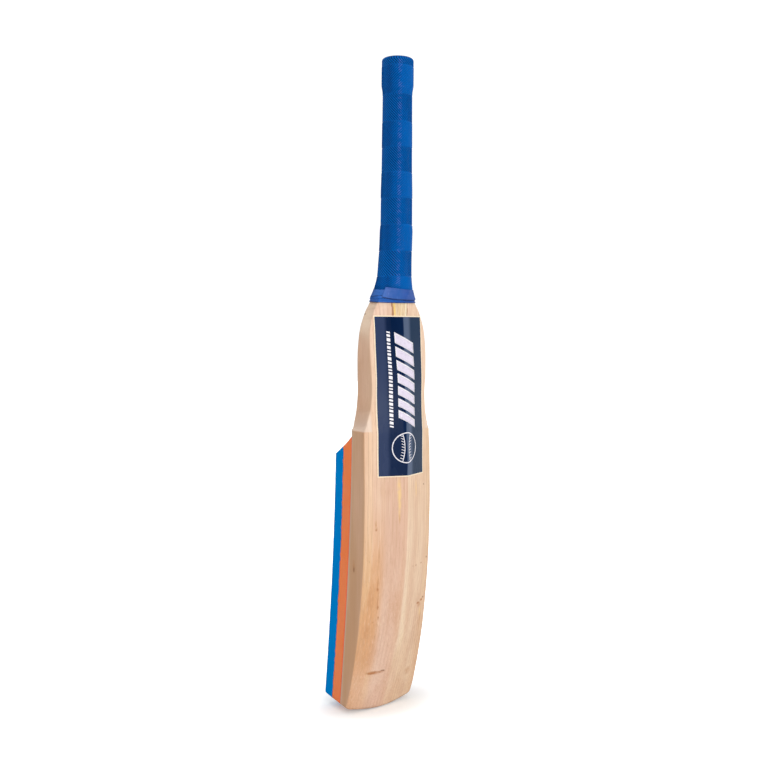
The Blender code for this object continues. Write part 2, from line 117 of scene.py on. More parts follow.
# The handle's oval: (height, half across, half deep, its middle's place in depth)
OVAL_START, OVAL_END = 0.538, 0.56
CORE_STATIONS = (
    (0.538, 0.03, 0.016, -0.005), (0.546, 0.0292, 0.016, -0.0052), (0.557, 0.0262, 0.0163, -0.0049),
    (0.567, 0.0232, 0.0166, -0.0038), (0.577, 0.0197, 0.0165, -0.0029), (0.59, 0.0187, 0.0167, -0.0023),
    (0.618, 0.0173, 0.0171, -0.0007), (0.64, 0.0172, 0.0172, 0.0), (0.72, 0.017, 0.017, 0.0),
    (0.8, 0.0167, 0.0167, 0.0), (0.848, 0.0166, 0.0166, 0.0),
)
ACROSS, DEEP, MIDDLE = (Profile(*((s[0], s[i]) for s in CORE_STATIONS)) for i in (1, 2, 3))
BLADE_TOP, HANDLE_TOP, CORE_CHAMFER = 0.59, 0.848, 0.0016

BOW_TOP, BOW_DEPTH, BOW_POWER = 0.36, 0.0238, 1.65
INNER_PAD, OUTER_PAD = 0.0187, 0.0168
PAD_TOP, PAD_TOP_DROP, PAD_TOP_POWER = 0.369, 0.0262, 0.88
TOE_RADIUS, TOE_CORNER, TOE_LAND = 0.262, 0.006, 0.0015
TOE_TILT, TOE_TILT_SPAN = 0.15, (0.02, 0.06)

# Angles of the oval that the corners of the blade's section turn into, from the front corner on the -X side
CORNER_ANGLES = np.radians([-150.0, -30.0, 30.0, 75.0, 105.0, 150.0, 210.0])
FRONT = 0  # the number of the front among the section's six sides


def front_y(z):
    return FRONT_Y(z) - BOW_DEPTH * np.maximum(0.0, (BOW_TOP - z) / BOW_TOP) ** BOW_POWER


def half_width(z):
    return np.where(z <= SHOULDER, HALF, NECK_HALF(z))


def spine_y(z):
    return front_y(z) + EDGE_DEPTH(z) + SPINE_RISE(z)


def corners(z, half):
    """The six corners of the blade's section at each height."""
    front, spine, rise = front_y(z), spine_y(z), SPINE_RISE(z)
    low, high = SPINE_LEAN(z) - SPINE_FLAT(z), SPINE_LEAN(z) + SPINE_FLAT(z)
    whole, shaved = half_width(z), half - SHAVED(z)
    right = spine - rise * (shaved - high) / (whole - high)
    left = spine - rise * (half + low) / (whole + low)
    values = np.broadcast_arrays(-half, half, shaved, high, low, -half, front, front, right, spine, spine, left)
    return np.stack([np.stack(values[:6], -1), np.stack(values[6:], -1)], -1)


def ahead_of(points):
    """From each corner to the next."""
    return np.roll(points, -1, axis=-2) - points


def rounding(z):
    """How far each corner's rounding reaches along its sides, at each height."""
    worked = ease(0.385, 0.44, z)
    front = 0.0006 + 0.0022 * worked
    back = 0.0015 - 0.0005 * worked + 0.003 * ease(0.03, 0.0, z)
    ridge = 0.0013 + 0.021 * ease(0.13, 0.0, z)
    return np.stack([front, front, back, ridge, ridge, back], -1)


def section(z, half, segment, share):
    """Points of the blade's section: each lies a share of the way along one side, with the corners eased off."""
    c = corners(z, half)
    ahead = ahead_of(c)
    length = np.linalg.norm(ahead, axis=-1)
    unit = ahead / np.maximum(length, 1e-9)[..., None]
    ends = np.cumsum(length, -1)
    starts = ends - length
    segment = np.broadcast_to(segment, z.shape)
    k = segment[..., None]
    at = np.take_along_axis(starts + length * np.asarray(share)[..., None], k, -1)
    points = np.take_along_axis(c + ahead * np.asarray(share)[..., None, None], k[..., None], -2)[..., 0, :]
    reach = rounding(z)
    apart = np.abs(at - starts)
    apart = np.minimum(apart, ends[..., -1:] - apart)
    bite = np.where(apart < reach, (reach - apart) ** 2 / (4 * reach), 0.0)
    points = points + (bite[..., None] * (unit - np.roll(unit, 1, axis=-2))).sum(-2)
    points[..., 1] -= np.where(segment == FRONT, CROWN(z), 0.0) * (1 - (points[..., 0] / half) ** 2)
    return points


def oval(z, segment, share):
    low, high = CORNER_ANGLES[segment], CORNER_ANGLES[segment + 1]
    angle = low + (high - low) * share
    return np.stack([ACROSS(z) * np.cos(angle), MIDDLE(z) + DEEP(z) * np.sin(angle)], -1)


def oval_spots(angle):
    """(side, share of the way along it) that meets the oval at each angle."""
    folded = (angle - CORNER_ANGLES[0]) % TURN + CORNER_ANGLES[0]
    segment = np.clip(np.searchsorted(CORNER_ANGLES, folded, side="right") - 1, 0, 5)
    low, high = CORNER_ANGLES[segment], CORNER_ANGLES[segment + 1]
    return segment, (folded - low) / (high - low)


def core(z, half, segment, share):
    """Blade and handle in one: the blade's section turns into the handle's oval under the tape."""
    turned = ease(OVAL_START, OVAL_END, z)[..., None]
    return section(z, half, segment, share) * (1 - turned) + oval(z, segment, share) * turned


def spots(z, counts):
    """(side, share) of the points round a section, gathered near the corners."""
    length = np.linalg.norm(ahead_of(corners(z, half_width(z))), axis=-1)
    reach = rounding(z)
    segments, shares = [], []
    for k, count in enumerate(counts):
        first, last = (np.minimum(reach[..., i % 6], 0.45 * length[..., k]) / length[..., k] for i in (k, k + 1))
        rows = [0 * first, first / 3, 2 * first / 3]
        rows += [first + (1 - first - last) * i / count for i in range(count + 1)]
        rows += [1 - 2 * last / 3, 1 - last / 3]
        segments += [k] * len(rows)
        shares += rows
    return np.array(segments), np.stack(shares, -1)


def square_to(ahead):
    """Unit vectors square to a direction in the ground plane, to its right."""
    normal = np.stack([ahead[..., 1], -ahead[..., 0]], -1)
    return normal / np.maximum(np.linalg.norm(normal, axis=-1, keepdims=True), 1e-9)


def grown(rings, by):
    """Rings moved outwards, square to their own outline."""
    moved = rings.copy()
    ahead = np.roll(rings, -1, axis=1) - np.roll(rings, 1, axis=1)
    moved[..., :2] += square_to(ahead) * np.asarray(by)[..., None]
    return moved


def eased_ring(rings, passes=6):
    """Rings smoothed along themselves, as a stretched skin bridges the corners below it."""
    for _ in range(passes):
        rings = 0.5 * rings + 0.25 * (np.roll(rings, 1, axis=1) + np.roll(rings, -1, axis=1))
    return rings


def lattice_noise(points, size, seed):
    """Smooth noise in -1..1, one value for each point, with features about as large as size."""
    p = np.asarray(points, float) / size
    cell = np.floor(p).astype(np.int64)
    t = p - cell
    t = t * t * (3 - 2 * t)
    total = np.zeros(p.shape[:-1])
    for corner in range(2 ** p.shape[-1]):
        bits = np.array([(corner >> i) & 1 for i in range(p.shape[-1])])
        key = ((cell + bits) * np.array([73856093, 19349663, 83492791])[: p.shape[-1]]).sum(-1) + seed * 2654435761
        key = (key ^ (key >> 13)) * 1274126177 & 0x7FFFFFFF
        key = (key ^ (key >> 11)) * 668265263 & 0x7FFFFFFF
        total += ((key & 0xFFFF) / 32767.5 - 1.0) * np.where(bits == 1, t, 1 - t).prod(-1)
    return total


# ---- meshes and pieces


def skin(rings, closed=False, flip=False):
    """(points, faces) over rings of equal count; the first and last ring are capped, or meet where closed."""
    levels, count = rings.shape[:2]
    index = np.arange(levels * count).reshape(levels, count)
    low = index if closed else index[:-1]
    high = np.roll(index, -1, axis=0) if closed else index[1:]
    faces = np.stack([low, np.roll(low, -1, 1), np.roll(high, -1, 1), high], -1).reshape(-1, 4).tolist()
    faces += [] if closed else [index[0][::-1].tolist(), index[-1].tolist()]
    return rings.reshape(-1, 3), [face[::-1] for face in faces] if flip else faces


def plate(top, bottom):
    """A closed thin solid between two grids of points of equal shape."""
    rows, columns = top.shape[:2]
    index = np.arange(rows * columns).reshape(rows, columns)
    quads = np.stack([index[:-1, :-1], index[:-1, 1:], index[1:, 1:], index[1:, :-1]], -1).reshape(-1, 4)
    under = quads[:, [0, 3, 2, 1]] + rows * columns
    rim = np.concatenate([index[0, :-1], index[:-1, -1], index[-1, :0:-1], index[:0:-1, 0]])
    after = np.roll(rim, -1)
    wall = np.stack([after, rim, rim + rows * columns, after + rows * columns], -1)
    return np.concatenate([top.reshape(-1, 3), bottom.reshape(-1, 3)]), np.concatenate([quads, under, wall]).tolist()


def joined(parts):
    points, faces, start = [], [], 0
    for some_points, some_faces in parts:
        points.append(some_points)
        faces += [[i + start for i in f] for f in some_faces]
        start += len(some_points)
    return np.concatenate(points), faces


def mesh_of(name, points, faces, smooth=True):
    mesh = bpy.data.meshes.new(name)
    mesh.from_pydata((np.asarray(points) + AXIS).tolist(), [], faces)
    if smooth:
        mesh.shade_smooth()
    return mesh


def placed(name, data):
    """A new object in the scene."""
    obj = bpy.data.objects.new(name, data)
    bpy.context.scene.collection.objects.link(obj)
    return obj


def piece(name, made, look, node, slot, sharp=None, **attributes):
    """A finished piece that rides on the bat, standing for a CAD node, with values at its points."""
    mesh = mesh_of(name, *made) if isinstance(made, tuple) else made
    obj = placed(name, mesh)
    if sharp:
        mesh.set_sharp_from_angle(angle=math.radians(sharp))
    mesh.materials.clear()
    mesh.materials.append(look)
    for key, values in attributes.items():
        mesh.attributes.new(key, "FLOAT", "POINT").data.foreach_set("value", values)
    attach(obj, "root")
    if node:
        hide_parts(node)


def cut(target, other, operation):
    """The target mesh after a Boolean with another mesh."""
    first, second = placed("cut_target", target), placed("cut_other", other)
    modifier = first.modifiers.new("cut", "BOOLEAN")
    modifier.operation, modifier.solver, modifier.object = operation, "MANIFOLD", second
    bpy.context.view_layer.update()
    made = bpy.data.meshes.new_from_object(first.evaluated_get(bpy.context.evaluated_depsgraph_get()))
    for obj in (first, second):
        bpy.data.objects.remove(obj)
    made.shade_smooth()
    return made


# ---- node materials


def srgb(red, green, blue):
    """A colour given in 0..255 as the eye reads it, as the linear numbers a shader takes."""
    values = (red / 255, green / 255, blue / 255)
    return tuple(v / 12.92 if v <= 0.04045 else ((v + 0.055) / 1.055) ** 2.4 for v in values)


class Nodes:
    """A short way to write a node tree, and to lay one tone over another in it."""

    def __init__(self, owner):
        owner.use_nodes = True
        self.owner, self.tree, self.tone = owner, owner.node_tree, None
        self.place = self.add("TexCoord").outputs["Object"]

    def add(self, kind, inputs=(), **settings):
        """A new node with these settings and inputs, the inputs by name or number."""
        node = self.tree.nodes.new("ShaderNode" + kind)
        for key, value in settings.items():
            setattr(node, key, value)
        for key, value in dict(inputs).items():
            self.put(node.inputs[key], value)
        return node

    def put(self, socket, value):
        if isinstance(value, bpy.types.NodeSocket):
            self.tree.links.new(value, socket)
        else:
            socket.default_value = (*value, 1.0) if socket.type == "RGBA" else value

    def math(self, operation, *values):
        return self.add("Math", enumerate(values), operation=operation).outputs[0]

    def plus(self, a, b):
        return self.math("ADD", a, b)

    def minus(self, a, b):
        return self.math("SUBTRACT", a, b)

    def between(self, value, low, high, to=1.0, smooth=True):
        """How far the value is from low to high, given as 0 to `to`, or as to[0] to to[1]."""
        to = to if isinstance(to, tuple) else (0.0, to)
        names = ("Value", "From Min", "From Max", "To Min", "To Max")
        kind = "SMOOTHSTEP" if smooth else "LINEAR"
        return self.add("MapRange", zip(names, (value, low, high, *to)), interpolation_type=kind).outputs[0]

    def times(self, *factors):
        """The product of the factors; one written (value, low, high, to) stands for between() of those."""
        made = 1.0
        for i, one in enumerate(factors):
            one = self.between(*one) if isinstance(one, tuple) else one
            made = self.math("MULTIPLY", made, one) if i else one
        return made

    def moved(self, scale, offset=(0, 0, 0)):
        inputs = {"Vector": self.place, "Location": offset, "Scale": scale}
        return self.add("Mapping", inputs).outputs[0]

    def noise(self, scale, detail=3.0, rough=0.5, offset=(0, 0, 0), warp=0.0):
        """Noise in 0..1; scale is features per metre along X, Y and Z."""
        names = ("Vector", "Scale", "Detail", "Roughness", "Distortion")
        values = (self.moved(scale, offset), 1.0, detail, rough, warp)
        return self.add("TexNoise", zip(names, values)).outputs[0]

    def ramp(self, value, *stops):
        """A ramp through stops (place, colour in 0..255 or one plain number)."""
        node = self.add("ValToRGB", {0: value})
        elements = node.color_ramp.elements
        while len(elements) < len(stops):
            elements.new(1.0)
        for element, (at, colour) in zip(elements, stops):
            element.position = at
            element.color = (*(srgb(*colour) if isinstance(colour, tuple) else [colour] * 3), 1.0)
        return node.outputs[0]

    def curve(self, value, function, low, high, count=14):
        """A drawn curve that follows a function of one value between low and high."""
        levels = function(np.linspace(low, high, count))
        floor, span = levels.min(), max(np.ptp(levels), 1e-6)
        node = self.add("FloatCurve", {"Value": self.between(value, low, high, smooth=False)})
        points = node.mapping.curves[0].points
        while len(points) < count:
            points.new(0.5, 0.5)
        for point, x, level in zip(points, np.linspace(0, 1, count), levels):
            point.location = (x, (level - floor) / span)
        node.mapping.update()
        return self.math("MULTIPLY_ADD", node.outputs[0], float(span), float(floor))

    def mix(self, share, a, b):
        node = self.add("Mix", data_type="RGBA")
        for name, value in (("Factor_Float", share), ("A_Color", a), ("B_Color", b)):
            self.put(next(s for s in node.inputs if s.identifier == name), value)
        return next(s for s in node.outputs if s.identifier == "Result_Color")

    def paint(self, colour, *shares):
        """Lays a colour, in 0..255 or from a node, over the tone so far, by the product of the shares."""
        colour = srgb(*colour) if isinstance(colour, tuple) else colour
        self.tone = self.mix(self.times(*shares), self.tone, colour)

    def fleck(self, colour, share, low, high, *noise, **more):
        """Lays a colour over the tone where a noise is high, and gives that noise."""
        value = self.noise(*noise, **more)
        self.paint(colour, (value, low, high, share))
        return value

    def bump(self, height, strength, distance, below=None):
        inputs = {"Height": height, "Strength": strength, "Distance": distance}
        inputs |= {} if below is None else {"Normal": below}
        return self.add("Bump", inputs).outputs[0]

    def finish(self, rough, normal, specular, **others):
        """The finished material, with the tone so far; a roughness of (noise, low, high) follows the noise."""
        rough = self.between(rough[0], 0.3, 0.7, rough[1:], False) if isinstance(rough, tuple) else rough
        inputs = {"Base Color": self.tone, "Roughness": rough, "Specular IOR Level": specular}
        inputs |= {key.replace("_", " "): value for key, value in others.items()}
        inputs |= {} if normal is None else {"Normal": normal}
        for key, value in inputs.items():
            self.put(self.tree.nodes["Principled BSDF"].inputs[key], value)
        return self.owner


def material(name, *noise, **more):
    """(nodes, a noise of slow changes), as most materials start."""
    n = Nodes(bpy.data.materials.new(name))
    return n, n.noise(*noise, **more)


def xyz(n, place=None):
    return n.add("SeparateXYZ", {0: place or n.place}).outputs


def attribute(n, name):
    return n.add("Attribute", attribute_name=name).outputs["Fac"]


def above_face(n, y, z):
    """How far a place lies behind the blade's face."""
    return n.minus(n.minus(y, AXIS[1]), n.curve(z, front_y, 0.0, 0.375))


def splice_half(n, z):
    """Half the width of the splice's V at a height."""
    k = (SPLICE_TOP_HALF - SPLICE_TIP_HALF) / (SPLICE_TOP - SPLICE_TIP)
    return n.math("MULTIPLY_ADD", z, k, SPLICE_TIP_HALF - SPLICE_TIP * k)


def leftward(n):
    """How far a place lies to the left of the handle's axis, seen from the camera."""
    x, y, _ = xyz(n)
    return n.plus(n.minus(n.times(x, 0.78), n.times(y, 0.62)), 0.62 * AXIS[1])


# Tones across the blade, from its right side to its left
BLADE_TONES = (
    (0.08, (232, 192, 154)), (0.2, (238, 206, 174)), (0.34, (238, 204, 170)), (0.46, (240, 208, 178)),
    (0.5, (234, 194, 167)), (0.56, (234, 196, 173)), (0.66, (236, 201, 179)), (0.76, (236, 200, 175)),
    (0.86, (240, 200, 171)), (0.94, (236, 190, 154)),
)
BROWN, DARK, TAN, RUST, STRAW = (140, 84, 46), (104, 58, 30), (198, 138, 92), (178, 108, 58), (246, 208, 138)
# Knots, a dash, stains and streaks: (place, half-sizes, colour, share, lean if any), the lengths in millimetres
MARKS = (
    ((26.5, -9.0, 55.6), (15, 20, 3.6), TAN, 0.7, -0.12),  # a brown dash across the toe
    ((28.0, -9.5, 55.4), (11, 20, 2.6), RUST, 0.7, -0.12),
    ((20.0, -6.5, 56.6), (14, 20, 2.2), RUST, 0.75, -0.13),
    ((12.5, -4.2, 57.8), (5.5, 20, 2.0), BROWN, 0.85, -0.12),
    ((54.0, -13.7, 197.0), (6, 2.6, 5.6), DARK, 0.95),  # a knot in the side
    ((54.0, -14.0, 201.0), (6, 3.6, 12), TAN, 0.7),
    ((-37.6, 5.7, 142.4), (5, 20, 2.4), RUST, 0.9),  # a row of pin knots
    ((-45.0, 3.0, 145.2), (4.4, 20, 2.6), RUST, 0.85),
    ((-48.2, 2.5, 148.0), (2.6, 20, 2.2), BROWN, 0.8),
    ((-44.0, 3.0, 129.0), (3.6, 20, 9), STRAW, 0.55),
    ((-40.5, 3.0, 139.0), (6, 20, 6), TAN, 0.6),
    ((-17.8, 18.9, 197.5), (1.8, 20, 1.5), RUST, 0.95),
    ((-25.1, 16.2, 197.2), (2.4, 20, 1.8), RUST, 0.8),
    ((-37.4, 11.8, 197.9), (2.4, 20, 1.9), RUST, 0.75),
    ((-50.0, 7.5, 203.5), (2.4, 20, 2.4), BROWN, 0.85),
    ((-38.6, 13.8, 303.4), (2.0, 20, 1.9), BROWN, 0.75),
    ((39.1, 13.7, 251.5), (2.2, 20, 3.4), RUST, 0.8),  # a pin knot and its tail
    ((39.5, 14.0, 258.0), (1.4, 20, 9), TAN, 0.8),
    ((34.0, 11.0, 178.0), (1.5, 20, 15), TAN, 0.75),  # a broken streak up the left facet
    ((33.8, 10.6, 172.5), (2.6, 20, 3.4), RUST, 0.5),
    ((31.8, 8.3, 148.0), (2.2, 20, 4.6), RUST, 0.6),
    ((32.5, 9.0, 156.0), (1.4, 20, 25), TAN, 0.7),
    ((29.9, 7.1, 133.5), (1.8, 20, 3.8), RUST, 0.65),
    ((36.5, 4.1, 128.4), (1.8, 20, 2.0), RUST, 0.6),
    ((34.5, 12.5, 215.0), (1.4, 20, 26), TAN, 0.5),
    ((41.0, 1.0, 160.0), (9, 20, 26), TAN, 0.38),  # stains
    ((42.5, 1.0, 115.0), (8, 20, 18), TAN, 0.4),
    ((41.0, 0.0, 72.0), (11, 20, 26), TAN, 0.34),
    ((-36.7, -13.9, 45.3), (9.5, 20, 9.5), TAN, 0.45),
    ((-45.0, 0.0, 115.0), (6, 20, 20), TAN, 0.35),
    ((10.8, 24.5, 300.0), (4.2, 20, 26), STRAW, 0.62, 0.02),  # pale streaks below the label
    ((10.4, 25.0, 280.0), (2.6, 20, 28), STRAW, 0.62),
    ((10.0, 25.0, 264.0), (1.2, 20, 12), TAN, 0.6),
    ((-19.6, 21.3, 301.0), (1.6, 20, 18), STRAW, 0.85),
    ((12.0, 19.0, 148.0), (12, 20, 40), TAN, 0.3),
    ((38.5, -15.5, 525.8), (3.4, 5, 2.4), DARK, 0.95),  # a chip below the tape
)


def paint_marks(n):
    """Each mark is full at its place and fades to nothing at its half-sizes, with a ragged border."""
    ragged = n.between(n.noise((260, 260, 200), 3.0, 0.6), 0.3, 0.6, (0.45, 1.3))
    for (x, y, z), sizes, colour, share, *lean in MARKS:
        place = {"Vector": n.place, "Location": (x / 1000, y / 1000 + AXIS[1], z / 1000)}
        place |= {"Rotation": (0.0, *(lean or [0.0]), 0.0), "Scale": [size / 1000 for size in sizes]}
        mapped = n.add("Mapping", place, vector_type="TEXTURE").outputs[0]
        away = n.add("VectorMath", {0: mapped}, operation="LENGTH").outputs["Value"]
        near = n.add("Math", {0: n.between(away, 1.0, 0.0), 1: ragged}, operation="MULTIPLY", use_clamp=True)
        n.paint(colour, near.outputs[0], share)


def willow():
    """Pale close-grained wood: tone bands across the blade, growth lines and fibres up it, a few marks."""
    n, drift = material("willow", (9, 9, 3.0), 2.0, offset=(3, 1, 7))
    x, y, z = xyz(n)
    across = n.plus(n.math("DIVIDE", x, 2.4 * HALF), n.between(drift, 0.3, 0.7, (0.47, 0.53), False))
    n.tone = n.ramp(across, *BLADE_TONES)
    # below the label the ridge parts a pinker left side from a creamier right side in painted light and shade:
    # painted light on the right facet, brightest in a line beside the ridge, and painted shade on the left facet
    # beside it
    rise = above_face(n, y, z)
    back = n.between(rise, 0.004, 0.012)
    # painted light on the right facet, strongest near the ridge
    n.paint((243, 212, 184), back, (x, 0.0006, -0.0004), (z, 0.06, 0.12), (x, -0.046, -0.004, (0.25, 0.75)))
    # painted shade on the left facet beside the ridge
    n.paint((214, 168, 136), 0.24, back, (x, -0.0002, 0.001), (x, 0.02, 0.004), (z, 0.07, 0.13))
    n.paint((224, 164, 108), (x, 0.022, 0.036), (z, 0.32, 0.16), (z, 0.015, 0.095, (0.34, 0.8)))
    # painted highlight in a line beside the ridge on the right facet
    n.paint((255, 232, 200), 0.45, back, (x, 0.0, -0.002), (x, -0.016, -0.008), (z, 0.07, 0.11))
    n.paint((224, 184, 152), (z, 0.3, 0.06, 0.04))
    n.paint((248, 220, 198), (z, 0.38, 0.5, 0.52))
    n.fleck((208, 154, 118), 0.34, 0.4, 0.68, (70, 70, 1.1), 3.0, 0.55, warp=0.15)
    n.fleck((238, 192, 172), 0.16, 0.5, 0.72, (44, 44, 1.6), 2.0, offset=(5, 2, 0))
    n.fleck((248, 222, 178), 0.24, 0.56, 0.74, (52, 52, 2.0), 2.0, offset=(1, 9, 4))
    n.fleck((206, 156, 116), 0.24, 0.52, 0.74, (34, 34, 16), 4.0, 0.62, offset=(7, 3, 3))
    # growth lines follow planes nearly square to the face, wavering up the blade
    waver = n.between(n.noise((6, 6, 2.4), 2.0, offset=(0, 4, 1)), 0.2, 0.8, (-1.2, 1.2), False)
    ring = n.plus(n.times(n.plus(x, n.times(y, 0.05)), 205.0), waver)
    line = n.ramp(n.math("FRACT", ring), (0.0, 0.0), (0.45, 0.05), (0.8, 0.75), (0.9, 1.0), (1.0, 0.0))
    n.paint((196, 142, 108), 0.38, line, (n.noise((34, 34, 7), 2.0, offset=(8, 0, 2)), 0.34, 0.66))
    fibre = n.fleck((190, 138, 104), 0.22, 0.42, 0.66, (900, 900, 16), 3.0, 0.6)
    # pale flecks along the fibres are painted glints
    n.fleck((252, 228, 202), 0.3, 0.55, 0.75, (700, 700, 12), 2.0, offset=(2, 2, 9))
    n.fleck((150, 100, 70), 0.22, 0.66, 0.74, (1500, 1500, 150), 1.0, offset=(4, 4, 4))
    # the straight sides are a duller cut of the wood; just above the foam's top, painted light makes the shoulders
    # pale where the neck flares out
    out = n.math("ABSOLUTE", x)
    side = n.times((out, 0.0531, 0.0537), (z, 0.379, 0.3745))
    patchy = n.between(n.noise((60, 60, 6)), 0.35, 0.65)
    n.paint(n.mix(patchy, srgb(214, 172, 142), srgb(200, 156, 120)), side, 0.75)
    # painted light on the shoulders where the neck flares out
    n.paint((240, 222, 208), 0.55, (z, 0.3755, 0.3775), (z, 0.412, 0.386), (out, 0.0425, 0.045))
    # painted shade on the neck's shaved left side, and painted light making it paler towards the tape
    flank = n.minus(x, n.curve(z, lambda h: NECK_HALF(h) - SHAVED(h), 0.376, 0.545, 24))
    flank = n.times((flank, -0.0004, 0.0005), (z, 0.376, 0.392))
    n.paint((250, 228, 202), flank, (z, 0.48, 0.512, 0.62))
    n.paint((206, 164, 134), 0.55, flank, (z, 0.52, 0.47))
    n.paint((206, 184, 160), 0.6, side, (rise, 0.0042, 0.0018))
    paint_marks(n)
    # glue darkens the wood where the handle is let in, and the toe's rim is darker in patches towards its bottom
    # edge
    ragged = n.times((n.noise((300, 300, 110), 2.0), 0.35, 0.65, 0.002, False), (y, -0.01, 0.006, (0.25, 1.0)))
    slot = n.minus(n.minus(out, splice_half(n, z)), ragged)
    n.paint((176, 120, 78), 0.85, (slot, 0.0006, 0.0), (z, 0.4, 0.43))
    toe = n.minus(z, n.times(n.times(x, x), 0.5 / TOE_RADIUS))
    rim_patches = n.between(n.noise((150, 150, 220), 3.0, 0.6), 0.3, 0.7, (0.3, 1.0))
    n.paint((150, 104, 66), 0.45, rim_patches, (toe, 0.0052, 0.0012))
    normal = n.bump(n.mix(0.35, fibre, line), 0.3, 0.00025)
    normal = n.bump(n.noise((14, 14, 5), 2.0), 0.22, 0.0016, normal)
    return n.finish((n.noise((60, 60, 9)), 0.42, 0.58), normal, 0.3, Coat_Weight=0.06, Coat_Roughness=0.35)


def foam(name, body, dusty, deep, near_wood, near_face, low, high):
    """Closed-cell foam between two distances in front of the blade: fine cells, a dusty sawn side, slow changes.

    near_wood and near_face are the tones beside its surfaces nearer to the blade and farther from it.
    """
    n, slow = material(name, (34, 34, 14), 3.0, 0.55)
    _, y, z = xyz(n)
    n.tone = srgb(*body)
    n.paint(dusty, (slow, 0.35, 0.68, 0.55))
    saw = n.fleck(dusty, 0.25, 0.44, 0.68, (240, 240, 900), 2.0, 0.6, offset=(1, 5, 2))
    ragged = n.between(n.noise((500, 500, 500), 3.0, 0.6), 0.3, 0.7, (-0.0008, 0.0008), False)
    depth = n.minus(ragged, above_face(n, y, z))
    n.paint(near_wood, (depth, low + 0.0026, low + 0.0004, 0.75))
    n.paint(near_face, (depth, high - 0.0026, high - 0.0004, 0.75))
    n.fleck(dusty, 0.16, 0.5, 0.72, (30, 30, 11), 4.0, 0.6, offset=(9, 2, 5))
    cells = {"Vector": n.moved((1800, 1800, 1800)), "Scale": 1.0}
    pit = n.between(n.add("TexVoronoi", cells, feature="F1").outputs["Distance"], 0.15, 0.75)
    n.paint(deep, (pit, 0.0, 1.0, (0.16, 0.0)))
    specks = n.fleck(deep, 0.26, 0.6, 0.74, (1100, 1100, 1100), 2.0, 0.6, offset=(7, 7, 7))
    normal = n.bump(saw, 0.2, 0.0004, n.bump(n.mix(0.5, pit, specks), 0.45, 0.0003))
    return n.finish((slow, 0.72, 0.9), normal, 0.0)


def grip_rubber():
    """Matt blue rubber, with painted shade down in the grooves between its ribs and just above the tape, painted
    light and shade on the two sides of the ribs, and a pale stripe of painted glints down the back.
    """
    n, slow = material("grip_rubber", (40, 40, 30))
    raised, groove, side = attribute(n, "raised"), attribute(n, "groove"), leftward(n)
    n.tone = srgb(0, 92, 172)
    n.paint((0, 85, 160), (slow, 0.35, 0.7))
    dust = n.fleck((30, 104, 186), 0.1, 0.62, 0.82, (420, 420, 420), 3.0, 0.65, offset=(3, 3, 1))
    # painted light and shade: the ribs that climb to the right are painted paler on the right and darker on the
    # left, and the grip's left edge is painted paler
    n.paint((0, 102, 186), raised, (side, 0.0, -0.012, 0.45))
    n.paint((14, 64, 130), raised, (side, 0.002, 0.012, 0.5))
    n.paint((10, 108, 196), (side, 0.01, 0.0165, 0.5))
    # painted shade in the grooves and just above the tape, weaker on the raised bands and towards the right
    calmed = n.minus(1.0, n.times(raised, 0.55))
    n.paint((0, 24, 62), calmed, (groove, 0.22, 0.85), (side, -0.006, 0.004, (0.45, 1.0)))
    # a broken stripe of painted glints on the rib crests, just right of the middle
    off = n.math("ABSOLUTE", n.plus(side, 0.0032))
    broken = n.noise((90, 90, 260), 2.0)
    n.paint((124, 130, 216), (off, 0.0036, 0.0008), (broken, 0.4, 0.62), (groove, 0.3, 0.05, 0.38))
    # painted highlight on the rib crests
    n.paint((20, 116, 214), (groove, 0.06, 0.0, 0.3))
    normal = n.bump(n.noise((1600, 1600, 1600), 2.0, 0.6), 0.14, 0.00012)
    rough = n.plus(n.between(dust, 0.3, 0.75, 0.08, False), n.between(groove, 0.0, 0.5, (0.13, 0.34)))
    return n.finish(rough, normal, 0.07, Specular_Tint=(0.6, 0.62, 1.0))


def vinyl(name, low, high):
    """Plastic tape: creased, with painted highlights along its creases, painted light to the left and painted shade
    to the right, and a painted shadow along its lower edge.
    """
    n, slow = material(name, (70, 70, 45))
    n.tone = srgb(*low)
    n.paint(high, (slow, 0.3, 0.72))
    # painted highlights along the creases
    crease = n.fleck((110, 138, 210), 0.3, 0.6, 0.78, (220, 220, 60), 3.0, 0.6, warp=0.6)
    side = leftward(n)
    # painted light to the left, painted shade to the right
    n.paint((66, 128, 214), (side, 0.008, 0.02, 0.32))
    n.paint((12, 64, 150), (side, -0.005, -0.017, 0.5))
    # painted shadow along the tape's lower edge
    n.paint((10, 34, 84), 0.85, (attribute(n, "across"), 0.105, 0.04))
    normal = n.bump(n.noise((1400, 1400, 1400), 2.0), 0.1, 0.0001, n.bump(crease, 0.35, 0.00045))
    return n.finish((crease, 0.32, 0.48), normal, 0.3, Specular_Tint=(0.8, 0.8, 1.0))


